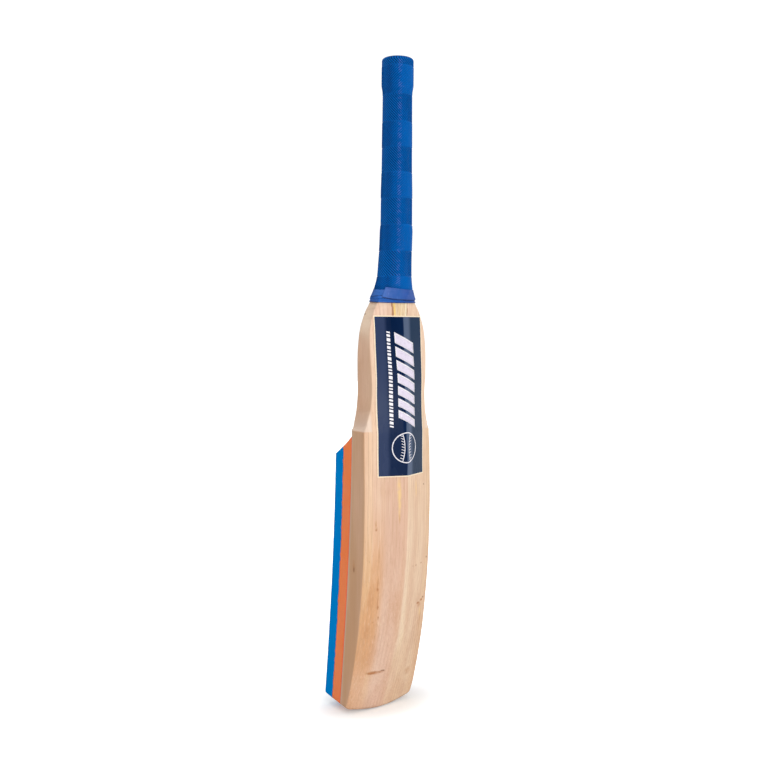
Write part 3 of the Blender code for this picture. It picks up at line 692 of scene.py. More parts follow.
def label_film():
    """Navy film, deepest beside the ridge, with painted reflections: paler to its left, brightest along the ridge,
    and paler beyond it.
    """
    n, slow = material("label_film", (30, 30, 12))
    x, _, z = xyz(n)
    n.tone = srgb(0, 26, 62)
    n.paint((4, 32, 70), (slow, 0.3, 0.7))
    waver = n.between(n.noise((8, 8, 14), 2.0, offset=(2, 6, 1)), 0.3, 0.7, (-0.0015, 0.0015), False)
    place = n.plus(x, waver)
    # the painted reflections follow the ridge, shifted towards -X near the label's top
    past = n.minus(place, n.curve(z, SPINE_LEAN, LABEL_LOW, LABEL_HIGH))
    past = n.plus(past, n.between(z, 0.4, 0.52, 0.0085))
    # painted reflection on the film's left part
    n.paint((46, 60, 94), (place, 0.0205, 0.0265))
    # painted highlight along the ridge
    n.paint((84, 98, 124), (past, 0.001, -0.001))
    # painted reflection beyond the ridge
    n.paint((34, 54, 80), (past, -0.008, -0.015))
    n.fleck((30, 48, 92), 0.25, 0.66, 0.8, (900, 900, 900), 2.0, 0.6)
    normal = n.bump(n.noise((22, 22, 10), 2.0), 0.18, 0.0006)
    normal = n.bump(n.noise((500, 500, 60), 2.0), 0.1, 0.00008, normal)
    return n.finish((slow, 0.2, 0.3), normal, 0.09)


def print_ink(name, colour, rough=0.34):
    n, wear = material(name, (320, 320, 320), 3.0, 0.6)
    light = srgb(*colour)
    n.tone = n.mix(n.between(wear, 0.45, 0.75), light, tuple(0.86 * c for c in light))
    return n.finish((wear, rough - 0.06, rough + 0.08), n.bump(wear, 0.15, 0.00008), 0.5)


def cane():
    """Split cane: pale straw with fine dark vessels running up it."""
    n, slow = material("cane", (60, 60, 4))
    x, _, z = xyz(n)
    n.tone = n.ramp(slow, (0.3, (232, 200, 158)), (0.5, (238, 210, 172)), (0.7, (228, 192, 148)))
    n.fleck((236, 200, 134), 0.75, 0.52, 0.66, (420, 420, 3), 2.0, offset=(2, 5, 1))
    half = splice_half(n, z)
    left, right = n.minus(half, x), n.plus(half, x)
    n.paint((248, 208, 116), 0.95, (n.math("ABSOLUTE", n.minus(left, 0.0034)), 0.0018, 0.0008))
    ragged = n.between(n.noise((300, 300, 160), 3.0, 0.6), 0.3, 0.7, 0.0016, False)
    n.paint((176, 122, 84), (n.minus(left, ragged), 0.0008, 0.0002, 0.85))
    n.paint((252, 240, 212), (right, 0.004, 0.0024, 0.85))
    n.paint((214, 184, 146), (right, 0.0014, 0.0008, 0.8))
    vessel = n.fleck((182, 134, 86), 0.45, 0.55, 0.66, (1150, 1150, 14), 2.0, 0.6)
    n.fleck((250, 234, 202), 0.5, 0.52, 0.7, (800, 800, 10), 2.0, offset=(6, 1, 3))
    return n.finish((slow, 0.45, 0.62), n.bump(vessel, 0.3, 0.0002), 0.3)


def grainy(name, noise, first, second, rough, bump, **others):
    """A plain mix of two tones, with a bump from the same noise."""
    n, grain = material(name, *noise)
    n.tone = srgb(*first)
    n.paint(second, (grain, 0.3, 0.7))
    return n.finish(rough, n.bump(grain, bump, 0.0002), 0.3, **others)


def sheet_rubber():
    return grainy("handle_rubber", ((500, 500, 500), 3.0, 0.6), (34, 33, 34), (58, 56, 55), 0.8, 0.3)


def waxed_twine():
    tones = (206, 184, 140), (160, 134, 92)
    return grainy("waxed_twine", ((1400, 1400, 1400), 3.0, 0.6), *tones, 0.7, 0.5, Sheen_Weight=0.2)


# ---- blade

SPLICE_TIP, SPLICE_TIP_HALF = 0.415, 0.0015
SPLICE_TOP, SPLICE_TOP_HALF = 0.585, 0.0171
SEAM = 0.00005  # half of the visible seam between blade and cane
SIDE_COUNTS = (26, 7, 18, 3, 18, 7)
SWELL = 0.0015  # the right side stands out this much more than the left
TOE_ROUND, PAD_ROUND = 0.0026, 0.0008
UNEVEN, UNEVEN_SIZE = 0.00016, 0.03
BODY_STEP, NECK_STEP, CORE_STEP = 0.0025, 0.0022, 0.006
CUT_DEPTH, CUT_MARGIN = 0.06, 0.02  # how far cutting shapes reach, and how far past what they cut
CLOSE = 0.0001  # a gap too small to see


def toe_levels():
    """(level, half-width) up the toe's arc and round its corner."""
    lean = math.asin(HALF / TOE_RADIUS)
    reach = TOE_CORNER * math.tan((math.pi / 2 - lean) / 2)
    widths = TOE_LAND + (HALF - reach * math.cos(lean) - TOE_LAND) * np.linspace(0, 1, 44)
    turns = lean + (math.pi / 2 - lean) * np.linspace(0, 1, 9)[1:]
    corner = HALF**2 / (2 * TOE_RADIUS) + reach - TOE_CORNER * np.cos(turns)
    levels = np.concatenate([widths**2 / (2 * TOE_RADIUS), corner])
    return levels, np.concatenate([widths, HALF - TOE_CORNER * (1 - np.sin(turns))])


def toe_height(level, y):
    return level + TOE_TILT * (spine_y(0.0) - y) * (1 - ease(*TOE_TILT_SPAN, level))


def crease_height(level, y):
    """Levels near the shoulders tilt until one of them is the crease, and turn level again above it."""
    share = ease(0.33, SHOULDER, level) * (1 - ease(SHOULDER, 0.4, level))
    return level - SHOULDER_TILT * (y - SHOULDER_MIDDLE_Y) * share


def blade_rings(low, high):
    """Rings of points up the blade from one level to another; below the shoulders they tilt with toe and crease."""
    levels, widths = toe_levels()
    body = np.arange(levels[-1] + BODY_STEP, SHOULDER - 0.001, BODY_STEP)
    neck = np.arange(SHOULDER + 0.0012, BLADE_TOP + CLOSE, NECK_STEP)
    neck = neck + (BLADE_TOP - neck[-1]) * (neck - SHOULDER) / (neck[-1] - SHOULDER)
    end = HANDLE_TOP - CORE_CHAMFER
    above = np.append(np.arange(BLADE_TOP + 0.004, end - CORE_STEP / 2, CORE_STEP), end)
    levels = np.concatenate([levels, body, [SHOULDER], neck, above])
    widths = np.concatenate([widths, np.full(len(body) + 1, HALF), half_width(neck), half_width(above)])
    keep = (levels >= low) & (levels <= high)
    levels, widths = levels[keep][:, None], widths[keep][:, None]
    segment, share = spots(levels[:, 0], SIDE_COUNTS)
    z, half = np.broadcast_to(levels, share.shape), np.broadcast_to(widths, share.shape)
    flat = core(z, half, segment, share)
    for _ in range(2):
        z = toe_height(crease_height(levels, flat[..., 1]), flat[..., 1])
        flat = core(z, np.where(levels <= SHOULDER, half, half_width(z)), segment, share)
    return np.concatenate([flat, z[..., None]], -1), levels


def round_toe(rings, levels, middle, depth, radius):
    """Draws the toe's front and back in towards the middle of the depth near its bottom surface."""
    above = np.clip(levels - rings[..., 0] ** 2 / (2 * TOE_RADIUS), 0.0, radius)
    inset = radius - np.sqrt(np.maximum(radius**2 - (radius - above) ** 2, 0.0))
    rings[..., 1] = middle + (rings[..., 1] - middle) * (1 - 2 * inset / depth)


def prism(outline):
    """A cutting shape: an outline in the XZ plane pushed through the bat from front to back."""
    count = len(outline)
    flat = np.array([(x, -CUT_DEPTH, z) for x, z in outline])
    points = np.concatenate([flat, flat + np.array([0, 2 * CUT_DEPTH, 0])])
    faces = [list(range(count)), list(range(2 * count - 1, count - 1, -1))]
    faces += [[i, i + count, (i + 1) % count + count, (i + 1) % count] for i in range(count)]
    return mesh_of("prism", points, faces, False)


def splice(grow, top):
    tip, wide, foot = SPLICE_TIP_HALF + grow, SPLICE_TOP_HALF + grow, SPLICE_TIP - grow
    return [(-tip, foot), (tip, foot), (wide, SPLICE_TOP), (wide, top), (-wide, top), (-wide, SPLICE_TOP)]


def build_blade():
    rings, levels = blade_rings(-1.0, BLADE_TOP + CLOSE)
    low, high = rings[..., 1].min(axis=1, keepdims=True), rings[..., 1].max(axis=1, keepdims=True)
    round_toe(rings, levels, (low + high) / 2, high - low, TOE_ROUND)
    # slow hand-worked unevenness, longer up the blade than across it
    rings = grown(rings, UNEVEN * lattice_noise(rings * (1.0, 1.0, 0.4), UNEVEN_SIZE, 3))
    rings[..., 0] += SWELL * ease(0.372, 0.35, rings[..., 2]) * np.minimum(0.0, rings[..., 0]) / HALF
    slot = prism(splice(SEAM, BLADE_TOP + CUT_MARGIN))
    mesh = cut(mesh_of("blade_blank", *skin(rings)), slot, "DIFFERENCE")
    piece("bat_blade", mesh, willow(), "blade", "blade_wood", 40)


# ---- foam pads

PAD_CORNER, PAD_CORNER_POINTS = 0.0009, 5
PAD_SIDE_POINTS, PAD_FACE_POINTS = 8, 30
PAD_GAP, PAD_STEP, PAD_STRAIGHT, PAD_TOP_RINGS = 0.00012, 0.0016, 0.32, 23
# The sawn borders' wavering and the foam's roughness: (height, size of its features)
WANDER, FINE_WANDER = (0.00075, 0.0062), (0.0006, 0.0024)
CELLS, LUMPS = (0.0001, 0.0016), (0.00016, 0.009)


def pad_outline():
    """The points round a pad's section, from its outer corner on the +X side, for any width, depth and rounding.

    Four lists: the side as -1 to 1, how much of the rounding is added along X and in depth, and the share of depth.
    """
    turn = np.linspace(0, math.pi / 2, PAD_CORNER_POINTS)
    bends = []
    for k, (side, deep) in enumerate(((1, 1), (1, 0), (-1, 0), (-1, 1))):
        angle = turn + k * math.pi / 2
        bends.append(np.stack([side + 0 * turn, np.sin(angle), np.cos(angle), deep + 0 * turn], -1))
    rows = []
    for k, count in enumerate((PAD_SIDE_POINTS, PAD_FACE_POINTS) * 2):
        along = np.linspace(0, 1, count + 2)[1:-1, None]
        rows += [bends[k], bends[k][-1] * (1 - along) + bends[(k + 1) % 4][0] * along]
    return np.concatenate(rows).T


def pad(near, far, seed, saw_near, saw_far):
    """One foam pad between two distances from the blade's face; its sawn borders waver a little."""
    levels, widths = toe_levels()
    body = np.arange(levels[-1] + 0.75 * PAD_STEP, PAD_STRAIGHT, PAD_STEP)
    risen = np.linspace(0, 1, PAD_TOP_RINGS + 1)[1:]
    level = np.concatenate([levels, body, np.full(len(risen), body[-1])])[:, None]
    half = np.concatenate([widths, np.full(len(body) + len(risen), HALF)])[:, None]
    risen = np.concatenate([np.zeros(len(levels) + len(body)), risen])[:, None]
    side, out, forward, share = pad_outline()
    soft, depth = np.minimum(PAD_CORNER, 0.4 * half), far - near
    x = side * (half - soft) + out * soft
    share = np.clip(share + (soft * (1 - 2 * share) + soft * forward) / depth, 0, 1)
    distance = near + depth * share
    z = toe_height(level, front_y(level) - distance)
    # the last rings climb from level to the pad's slanting top
    goal = PAD_TOP - PAD_TOP_DROP * (distance / (INNER_PAD + OUTER_PAD)) ** PAD_TOP_POWER
    z = z + (goal - z) * risen
    wander = WANDER[0] * lattice_noise(np.stack([x * 2.0, z], -1), WANDER[1], 5)
    wander += FINE_WANDER[0] * lattice_noise(np.stack([x * 3.0, z], -1), FINE_WANDER[1], 6)
    at_side = ease(0.8 * HALF, 0.995 * HALF, np.abs(x))
    sawn = at_side * np.where(share > 0.5, saw_far, saw_near) * np.abs(2 * share - 1)
    made = np.stack([x, front_y(z) - distance - wander * sawn, z], -1)
    round_toe(made, level, made[..., 1].mean(axis=1, keepdims=True), depth, PAD_ROUND)
    rough = CELLS[0] * lattice_noise(made, CELLS[1], seed) + LUMPS[0] * lattice_noise(made, LUMPS[1], seed + 1)
    made[..., 0] += np.sign(x) * at_side * rough
    return skin(made)


def build_pads():
    middle, face = INNER_PAD, INNER_PAD + OUTER_PAD
    tones = (254, 138, 82), (250, 152, 108), (228, 100, 56), (250, 104, 84), (254, 132, 70)
    look, made = foam("orange_foam", *tones, 0.0, middle), pad(PAD_GAP, middle - PAD_GAP, 21, 0.25, 1.0)
    piece("foam_inner", made, look, "foam_pad_inner", "orange_foam", 50)
    tones = (0, 134, 218), (4, 142, 222), (0, 112, 194), (0, 126, 206), (0, 62, 134)
    look, made = foam("blue_foam", *tones, middle, face), pad(middle + PAD_GAP, face, 31, 1.0, 0.12)
    piece("foam_outer", made, look, "foam_pad_outer", "blue_foam", 50)


# ---- handle

LAYERS, STRIPS = 4, 3
STRIP_WIDTH, RUBBER, LAYER, GLUE = 0.0112, 0.0016, 0.0072, 0.0002
LEAN = math.radians(0.8)


def leaning_box(across, deep, width, depth):
    """A box along one strip of the laminate, leaning with the layers about the handle's top."""
    x, y, z = width / 2, depth / 2, (HANDLE_TOP - SPLICE_TIP) / 2 + 0.03
    middle = (HANDLE_TOP + SPLICE_TIP) / 2
    box = [(sx * x, sy * y, sz * z) for sz in (-1, 1) for sx, sy in ((-1, -1), (1, -1), (1, 1), (-1, 1))]
    turned = np.array([Matrix.Rotation(-LEAN, 3, "X") @ Vector(c) for c in box])
    turned += np.array([across, deep - (HANDLE_TOP - middle) * math.tan(LEAN), middle])
    faces = [[3, 2, 1, 0], [4, 5, 6, 7], [0, 1, 5, 4], [1, 2, 6, 5], [2, 3, 7, 6], [3, 0, 4, 7]]
    return mesh_of("leaning_box", turned, faces, False)


def build_handle():
    """The laminated handle, cut from one smooth blank into its cane strips and rubber sheets."""
    rings, _ = blade_rings(SPLICE_TIP - 0.012, HANDLE_TOP)
    last = grown(rings[-1:].copy(), np.full((1, rings.shape[1]), -CORE_CHAMFER))
    last[..., 2] = HANDLE_TOP
    blank = mesh_of("handle_blank", *skin(np.concatenate([rings, last])))
    step, over = BLADE_TOP + 0.0003, HANDLE_TOP + CUT_MARGIN
    foot = splice(-SEAM, step)
    funnel = foot[:4] + [(HALF, step), (HALF, over), (-HALF, over), (-HALF, step)] + foot[4:]
    blank = cut(blank, prism(funnel), "INTERSECT")

    def laminate(name, look, node, slot, *box):
        piece(name, cut(blank.copy(), leaning_box(*box), "INTERSECT"), look, node, slot, 30)

    pitch = LAYER + RUBBER
    first = -pitch * (LAYERS - 1) / 2
    cane_look, rubber_look = cane(), sheet_rubber()
    for layer in range(LAYERS):
        deep, depth = first + layer * pitch, LAYER - GLUE
        if layer in (0, LAYERS - 1):  # the outer layers and strips reach past the blank
            deep += LAYER * (1 if layer else -1)
            depth += 2 * LAYER
        for strip in range(STRIPS):
            side = strip - (STRIPS - 1) / 2
            across, width = 2 * side * STRIP_WIDTH, STRIP_WIDTH - GLUE + (2 * STRIP_WIDTH if side else 0.0)
            node = f"cane_layer{layer + 1}_strip{strip + 1}"
            laminate(f"cane_{layer + 1}_{strip + 1}", cane_look, node, "cane", across, deep, width, depth)
    for gap in range(LAYERS - 1):
        name, node = f"rubber_sheet_{gap + 1}", f"handle_rubber_{gap + 1}"
        box = 0.0, first + (gap + 0.5) * pitch, 2 * HALF, RUBBER - GLUE
        laminate(name, rubber_look, node, "handle_rubber", *box)


THREAD = 0.00055


def coil(low, high):
    """One thread wound tightly round the core, its two ends closed."""
    turns = round((high - low) / (2 * THREAD))
    steps = turns * 48 + 1
    t = np.linspace(0, turns * TURN, steps)
    z = low + THREAD + (high - low - 2 * THREAD) * np.linspace(0, 1, steps)
    across, deep = ACROSS(z) + THREAD + CLOSE, DEEP(z) + THREAD + CLOSE
    path = np.stack([across * np.cos(t), MIDDLE(z) + deep * np.sin(t), z], -1)
    out = np.stack([deep * np.cos(t), across * np.sin(t), 0 * z], -1)
    out /= np.linalg.norm(out, axis=-1, keepdims=True)
    angles = np.arange(7)[:, None] * TURN / 7
    rings = path[:, None] + THREAD * (out[:, None] * np.cos(angles) + np.array([0.0, 0.0, 1.0]) * np.sin(angles))
    return skin(rings, flip=True)


def build_twine():
    look = waxed_twine()
    piece("twine_top", coil(0.8175, 0.8445), look, "twine_binding_top", "twine")
    piece("twine_foot", coil(0.58, 0.631), look, "twine_binding_foot", "twine")


# ---- grip

GRIP_WALL, GRIP_FOOT = 0.0016, 0.5455
GRIP_GAP = Profile(
    (0.5455, 0.0004), (0.56, 0.0004), (0.567, 0.0005), (0.578, 0.0019), (0.631, 0.0019), (0.642, 0.0013),
    (0.68, 0.0012), (0.7, 0.0008), (0.72, 0.0006), (0.8065, 0.0004), (0.8174, 0.0018), (0.845, 0.0018),
)
LIP_Z, LIP_OPENING, LIP_ROUND = 0.849, 0.0115, 0.0024
# Heights where the ribs change their lean
BORDERS = np.array([0.542, 0.5744, 0.6067, 0.6402, 0.6738, 0.7063, 0.7379, 0.7696, 0.8039, 0.8394, 0.872])
RIBS_ROUND, RIB_HEIGHT, RIB_CLIMB = 37, 0.00074, 0.0033
RIB_SHAPE = np.array([1.0, 0.97, 0.84, 0.67, 0.49, 0.3, 0.09, 0.0])
RIB_POINTS = len(RIB_SHAPE)
GRIP_POINTS = RIBS_ROUND * RIB_POINTS
BAND_STEP = 0.00022  # the bands with an even number stand out this much more
TAPED = (0.561, 0.5625, 0.5635)  # heights near the tape's upper edge, below which the grip gets painted shadow


def banded(z):
    """(band number, height above the band's foot, distance to the nearer border) at each height."""
    band = np.clip(np.searchsorted(BORDERS, z, side="right") - 1, 0, len(BORDERS) - 2)
    return band, z - BORDERS[band], np.minimum(z - BORDERS[band], BORDERS[band + 1] - z)


def sheared(z):
    """How far the ribs have turned about the handle at each height, one way and then the other."""
    band, climbed, _ = banded(z)
    ways = np.where(np.arange(len(BORDERS) - 1) % 2 == 0, 1.0, -1.0)
    before = np.concatenate([[0.0], np.cumsum(np.diff(BORDERS) * ways)])[band]
    return (before + ways[band] * climbed) / RIB_CLIMB * TURN / RIBS_ROUND


def full_ring(z):
    """Core rings with points at equal angles of the oval, turned about it with the ribs."""
    angle = TURN * np.arange(GRIP_POINTS) / GRIP_POINTS + sheared(z)[:, None]
    z = np.broadcast_to(z[:, None], angle.shape)
    return np.concatenate([core(z, half_width(z), *oval_spots(angle)), z[..., None]], -1)


def ribs(z):
    """(height over the wall, depth of the grooves in 0..1, raised near the tape's edge for a painted shadow there)
    of the grip's points.

    Each rib slopes gently on its upper side and drops steeply below, so bands that lean opposite ways are mirror
    images; every band ends in a narrow smooth strip.
    """
    band, _, border = (v[:, None] for v in banded(z))
    fade = ease(0.00015, 0.0008, border)
    index = np.arange(GRIP_POINTS)[None, :]
    shape = np.where(band % 2 == 1, RIB_SHAPE[index % RIB_POINTS], RIB_SHAPE[-index % RIB_POINTS])
    share = shape * fade + 0.35 * (1 - fade)
    step = np.where(band % 2 == 0, BAND_STEP, 0.0) * ease(0.0, 0.0006, border)
    groove = (1 - shape) ** 1.5 * fade + 0.25 * (1 - fade)
    return share * RIB_HEIGHT + step, np.maximum(groove, 0.45 * ease(TAPED[2], TAPED[0], z[:, None]))


def grip_levels(end):
    """Heights of the grip's rings: close together beside the borders between bands."""
    z = {GRIP_FOOT, end, *TAPED[:2]}
    for foot, top in zip(BORDERS[:-1], BORDERS[1:]):
        for off in (0.0, 0.00015, 0.0006, 0.001):
            z |= {round(foot + off, 6), round(top - off, 6)}
        z |= {round(level, 6) for level in np.linspace(foot + 0.001, top - 0.001, 19)[1:-1]}
    return np.array(sorted(v for v in z if GRIP_FOOT <= v <= end))


def bend(x, z, radius, turns, count):
    """Points (x, z) round an arc without its first; turns are its first and last angle in quarter turns."""
    turn = np.linspace(*turns, count + 1)[1:] * math.pi / 2
    return np.stack([x + radius * np.cos(turn), z + radius * np.sin(turn)], -1)


def build_grip():
    end, out = LIP_Z - LIP_ROUND, LIP_ROUND + GRIP_WALL
    z = grip_levels(end)
    base = full_ring(z)
    low_rows = z < 0.575
    base[low_rows] = eased_ring(base)[low_rows]
    height, groove = ribs(z)
    height -= 0.6 * RIB_HEIGHT
    outer = grown(base, GRIP_GAP(z)[:, None] + GRIP_WALL + height)
    # the lip: round the corner, in over the handle's end, round its own edge and back underneath
    middle = base[-1].mean(axis=0)
    spoke = base[-1] - middle
    spoke /= np.linalg.norm(spoke[:, :2], axis=1, keepdims=True)
    inside, edge = ACROSS(end) + GRIP_GAP(end) - LIP_ROUND, LIP_OPENING + GRIP_WALL / 2
    lip = np.concatenate([
        bend(inside, end, out, (0, 1), 13),
        np.linspace((inside, end + out), (edge, end + out), 5)[1:],
        bend(edge, LIP_Z + GRIP_WALL / 2, GRIP_WALL / 2, (1, 3), 7),
        np.linspace((edge, LIP_Z), (inside, LIP_Z), 3)[1:],
        bend(inside, end, LIP_ROUND, (1, 0), 4),
    ])
    ribbed = np.zeros(len(lip))
    ribbed[:13] = ease(1.3, 0.6, np.linspace(0, math.pi / 2, 14)[1:])
    reach, level, ribbed = lip[:, :1], lip[:, 1:], ribbed[:, None]
    curl = middle + spoke * (reach + ribbed * height[-1])[..., None]
    curl[..., 2] = level
    below = np.append(np.arange(0.838, 0.552, -0.012), GRIP_FOOT)
    inner = eased_ring(full_ring(below))
    inner = grown(inner, GRIP_GAP(below)[:, None] + 0 * inner[..., 0])
    rings = np.concatenate([outer, curl, inner])
    # the lip and the grip's inside get fixed middling values, which give them some painted shade
    depth = np.concatenate([groove, groove[-1] * ribbed + 0.4 * (1 - ribbed), np.full(inner.shape[:2], 0.5)])
    raised = np.repeat((banded(rings[:, 0, 2])[0] % 2 == 0) * 1.0, GRIP_POINTS)
    made, look = skin(rings, closed=True), grip_rubber()
    piece("ribbed_grip", made, look, "rubber_grip", "grip_rubber", 75, groove=depth.ravel(), raised=raised)


# ---- tape


def wrap(low, high, start, sweep, thickness, offset, bulge, seed):
    """A strip of tape round the grip's foot, and each point's share of the way across it.

    low, high and offset are functions of the share of the way round, and bulge of that across; start is in degrees.
    """
    share, across = np.linspace(0, 1, 260)[:, None], np.linspace(0, 1, 26)
    z = low(share) + (high(share) - low(share)) * across
    angle = math.radians(start) + TURN * sweep * share + 0 * z
    flat = core(z, half_width(z), *oval_spots(angle))
    for _ in range(4):
        flat[1:-1] = 0.5 * flat[1:-1] + 0.25 * (flat[2:] + flat[:-2])
    normal = square_to(np.gradient(flat, axis=0))
    over_grip = ease(GRIP_FOOT - 0.002, GRIP_FOOT + 0.001, z) * (GRIP_WALL + 0.0003)
    wrinkle = 0.0003 * lattice_noise(np.stack([angle * 0.02, z], -1), 0.0045, seed)
    wrinkle += 0.00014 * lattice_noise(np.stack([angle * 0.008, z * 1.6], -1), 0.0015, seed + 1)
    lift = offset(share) + bulge(across) + wrinkle + over_grip + 0.00025
    inside, outside = (
        np.concatenate([flat + normal * (lift + more)[..., None], z[..., None]], -1) for more in (0.0, thickness)
    )
    return plate(inside, outside), np.tile(np.broadcast_to(across, z.shape).ravel(), 2)


def build_tape():
    """Two turns of tape: the upper one ends in a lifted flap on the back, the lower one rolls out below it."""
    made, across = wrap(
        lambda s: 0.5416 + 0.0013 * np.cos(TURN * s - 0.9), lambda s: 0.552, 200, 1.02, 0.0004, lambda s: 0.0002 * s,
        lambda a: 0.0007 * ease(0.3, 0.1, a) - 0.0004 * ease(0.1, 0.3, a) * ease(0.6, 0.4, a), 41,
    )
    look = vinyl("vinyl_tape_under", (14, 80, 166), (44, 100, 184))
    piece("tape_under_turn", made, look, None, "vinyl_tape", 50, across=across)
    low = Profile(
        (0.0, 0.5473), (0.064, 0.5455), (0.144, 0.5441), (0.25, 0.5437), (0.33, 0.5441), (0.55, 0.5456),
        (0.8, 0.5479), (0.84, 0.5481), (0.92, 0.5491), (1.0, 0.5495),
    )
    high = Profile(
        (0.0, 0.5604), (0.064, 0.5593), (0.144, 0.5581), (0.25, 0.5575), (0.4, 0.5578), (0.6, 0.5586),
        (0.8, 0.5586), (0.87, 0.5574), (0.94, 0.557), (1.0, 0.5566),
    )
    made, across = wrap(
        low, high, 36, 1.04, 0.00042, lambda s: 0.0008 - 0.0006 * s + 0.0005 * ease(0.03, 0.0, s),
        lambda a: 0.0003 * ease(0.25, 0.0, a) + 0.0003 * ease(0.88, 1.0, a), 43,
    )
    look = vinyl("vinyl_tape", (38, 92, 170), (62, 98, 174))
    piece("tape_upper_turn", made, look, "grip_foot_tape", "vinyl_tape", 50, across=across)


# ---- label

LABEL_LOW, LABEL_HIGH, LABEL_BORDER = 0.3196, 0.5227, 0.0014
LABEL_LEFT, LABEL_RIGHT = Profile((0.3196, 0.0364), (0.5218, 0.0374)), Profile((0.3196, 0.0358), (0.5218, 0.038))
LABEL_LIFT, FILM, PRINT = 0.0002, 0.00025, 0.00004  # how far it lies off the wood, and two thicknesses


def ramp_eased(x, reach):
    """max(x, 0) with its corner eased over the reach."""
    return np.where(x <= -reach, 0.0, np.where(x >= reach, x, (x + reach) ** 2 / (4 * reach)))


def film_plate(x, z, lift, thickness):
    """A film over a grid of places, lying on the back away from its edges, with the spine's corners eased off."""
    x, z = np.broadcast_arrays(x, z)
    low, high = SPINE_LEAN(z) - SPINE_FLAT(z), SPINE_LEAN(z) + SPINE_FLAT(z)
    rise, whole, reach = SPINE_RISE(z), half_width(z), rounding(z)[..., 3]
    y = spine_y(z) - rise / (whole - high) * ramp_eased(x - high, reach)
    y -= rise / (whole + low) * ramp_eased(low - x, reach)
    return plate(*(np.stack([x, y + lift + more, z], -1) for more in (thickness, 0.0)))


def build_label():
    def sheet(border, lift, thickness):
        z = LABEL_LOW - border + (LABEL_HIGH - LABEL_LOW + 2 * border) * np.linspace(0, 1, 130)[:, None]
        left, right = LABEL_LEFT(z) + border, -LABEL_RIGHT(z) - border
        return film_plate(left + (right - left) * np.linspace(0, 1, 121), z, lift, thickness)

    edge, film = sheet(LABEL_BORDER, LABEL_LIFT, FILM), sheet(0.0, LABEL_LIFT + FILM, PRINT)
    piece("label_edge", edge, print_ink("label_edge", (255, 234, 204), 0.55), None, "label_film", 60)
    piece("label_film", film, label_film(), "back_label", "label_film", 60)
    build_print(LABEL_LIFT + FILM + PRINT)


def bar(x_low, x_high, top, tall, slant, lift):
    """A slanting bar: a parallelogram with its ends square to its column."""
    x = np.linspace(x_high, x_low, 22)
    z = top - tall + tall * np.linspace(0, 1, 6)[:, None] + slant * (x - x_low) / (x_high - x_low)
    return film_plate(x, z, lift, PRINT)


def line_along(points, width, lift):
    """A printed line of even width along a path of (x, z) points on the back."""
    side = -square_to(np.gradient(points, axis=0)) * width / 2
    x, z = (points[:, None] + np.linspace(-1, 1, 3)[:, None] * side[:, None]).transpose(2, 0, 1)
    return film_plate(x, z, lift, PRINT)


def build_print(lift):
    """A generic printed design: slanting bars down the middle, a column of dashes, and a seamed ball."""
    outline, fill = [], []
    top = 0.4892
    for step in range(7):
        tall, narrow = 0.0138 - 0.0006 * step, 0.0006 * step
        outline.append(bar(-0.0215 + narrow, 0.0112, top, tall, 0.014, lift))
        fill.append(bar(-0.0203 + narrow, 0.01, top - 0.0014, tall - 0.0025, 0.013, lift + PRINT))
        top -= tall + 0.0042
    level = 0.5034
    for step in range(26):
        tall = 0.0019 + 0.0024 * (step * 7 % 5) / 4
        outline.append(bar(0.0176, 0.0222, level, tall, 0.001, lift))
        level -= tall + 0.0017
    centre, radius, seam = np.array([0.0002, 0.3553]), 0.0192, (0.0034, 0.003)
    angle = np.linspace(0, TURN, 97)
    outline.append(line_along(centre + radius * np.stack([np.cos(angle), np.sin(angle)], -1), 0.0013, lift))
    for side in (-1, 1):
        def on_seam(t):
            return centre + np.stack([side * (seam[0] + seam[1] * t**2), 0.94 * radius * t], -1)

        outline.append(line_along(on_seam(np.linspace(-1, 1, 33)), 0.0009, lift))
        for start in on_seam(np.linspace(-0.8, 0.8, 9)):
            stitch = np.linspace(start, start + (side * 0.004, 0.0016), 3)
            outline.append(line_along(stitch, 0.0008, lift))
    piece("label_outlines", joined(outline), print_ink("print_outline", (250, 246, 252)), None, "label_film")
    piece("label_bars", joined(fill), print_ink("print_fill", (232, 222, 240)), None, "label_film")


# ---- stage, light and camera

VIEW_FROM = math.radians(38.51)  # from the back, turned towards +X
VIEW_DISTANCE, VIEW_HEIGHT = 1.2962, 0.51556
VIEW_YAW, VIEW_PITCH, VIEW_ROLL = np.radians([-0.65, 3.503, 0.484]).tolist()
LENS = 46.94
SKY_LOW, SKY_HIGH, SKY_BEHIND, SKY_SEEN = 0.22, 0.98, 0.3, 1.1
FLOOR_SIZE, FLOOR_DROP, FLOOR_GLOW = 6.0, 0.0004, (0.26, 0.86)


def build_camera():
    data = bpy.data.cameras.new("view")
    data.lens, data.sensor_width = LENS, 36.0
    camera = placed("view", data)
    place = Vector((VIEW_DISTANCE * math.sin(VIEW_FROM), VIEW_DISTANCE * math.cos(VIEW_FROM), VIEW_HEIGHT))
    heading, level = VIEW_FROM + VIEW_YAW, math.cos(VIEW_PITCH)
    ahead = Vector((-math.sin(heading) * level, -math.cos(heading) * level, -math.sin(VIEW_PITCH)))
    right = ahead.cross(Vector((0, 0, 1))).normalized()
    up = right.cross(ahead)
    rolled = right * math.cos(VIEW_ROLL) + up * math.sin(VIEW_ROLL)
    risen = up * math.cos(VIEW_ROLL) - right * math.sin(VIEW_ROLL)
    turn = Matrix((rolled, risen, -ahead)).transposed().to_4x4()
    camera.matrix_world = Matrix.Translation(place + Vector(AXIS)) @ turn
    bpy.context.scene.camera = camera


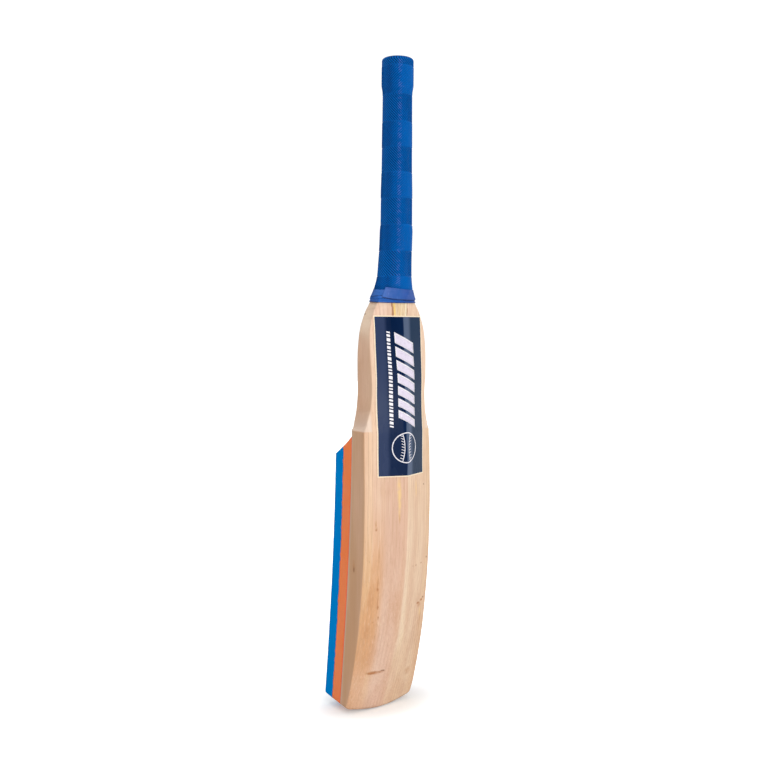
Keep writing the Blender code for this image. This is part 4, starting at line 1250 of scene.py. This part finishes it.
def area_light(name, azimuth, height, distance, size, power, target):
    """A softbox looking at the bat; azimuth is counted from +Y towards +X, in degrees."""
    data = bpy.data.lights.new(name, "AREA")
    data.shape, data.energy = "RECTANGLE", power
    data.size, data.size_y = size
    light = placed(name, data)
    turn = math.radians(azimuth)
    place = Vector((math.sin(turn) * distance, math.cos(turn) * distance, height)) + Vector(AXIS)
    light.location = place
    light.rotation_euler = (Vector((AXIS[0], AXIS[1], target)) - place).to_track_quat("-Z", "Y").to_euler()
    light.visible_camera = False


def build_world():
    """A soft sky, brighter overhead and dimmer behind the bat; the camera sees plain white."""
    world = bpy.context.scene.world = bpy.data.worlds.new("studio")
    n = Nodes(world)
    place = n.place.node.outputs["Generated"]
    toward = {0: place, 1: (math.sin(VIEW_FROM), math.cos(VIEW_FROM), 0.6)}
    toward = n.add("VectorMath", toward, operation="DOT_PRODUCT").outputs["Value"]
    sky = n.times((xyz(n, place)[2], 0.0, 1.0, (SKY_LOW, SKY_HIGH), False), (toward, -0.75, 0.25, (SKY_BEHIND, 1.0)))
    seen = n.add("LightPath").outputs["Is Camera Ray"]
    background = n.tree.nodes["Background"].inputs
    n.put(background["Color"], (1.0, 1.0, 1.0))
    n.put(background["Strength"], n.add("Mix", {"Factor": seen, "A": sky, "B": SKY_SEEN}).outputs[0])


def build_floor():
    """A plain pale floor; light that only the camera sees keeps it white away from the bat's own shadow."""
    mesh = bpy.data.meshes.new("floor")
    square = [(x * FLOOR_SIZE, y * FLOOR_SIZE, 0) for x, y in ((-1, -1), (1, -1), (1, 1), (-1, 1))]
    mesh.from_pydata(square, [], [(0, 1, 2, 3)])
    floor = placed("floor", mesh)
    floor.location.z = -FLOOR_DROP
    n = Nodes(bpy.data.materials.new("floor"))
    n.tone = (0.79, 0.8, 0.79)
    round_foot = n.moved((0.66, 1.0, 0.0), (0.006, -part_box("blade")[0].y, 0.0))
    away = n.add("VectorMath", {0: round_foot}, operation="LENGTH").outputs["Value"]
    glow = n.times((away, 0.028, 0.106, FLOOR_GLOW), n.add("LightPath").outputs["Is Camera Ray"])
    mesh.materials.append(n.finish(0.9, None, 0.05, Emission_Color=(1.0, 1.0, 1.0), Emission_Strength=glow))
    # seen from below, the floor is clear
    below = n.add("NewGeometry").outputs["Backfacing"]
    clear = n.add("BsdfTransparent").outputs[0]
    shader = n.add("MixShader", {0: below, 1: n.tree.nodes["Principled BSDF"].outputs[0], 2: clear})
    n.put(n.tree.nodes["Material Output"].inputs["Surface"], shader.outputs[0])


def build_stage():
    build_world()
    build_floor()
    area_light("key", 12, 1.0, 2.4, (2.3, 2.0), 11, 1.0)
    area_light("core", 14.5, 1.0, 2.3, (0.34, 1.7), 18, 1.0)
    area_light("side", -80, 0.9, 2.4, (1.5, 1.8), 9, 0.9)
    area_light("fill", 96, 0.9, 2.6, (1.6, 1.8), 4, 0.9)
    bpy.context.scene.view_settings.view_transform = "Standard"


build_blade()
build_pads()
build_handle()
build_twine()
build_grip()
build_tape()
build_label()
build_stage()
build_camera()

bpy.context.view_layer.update()
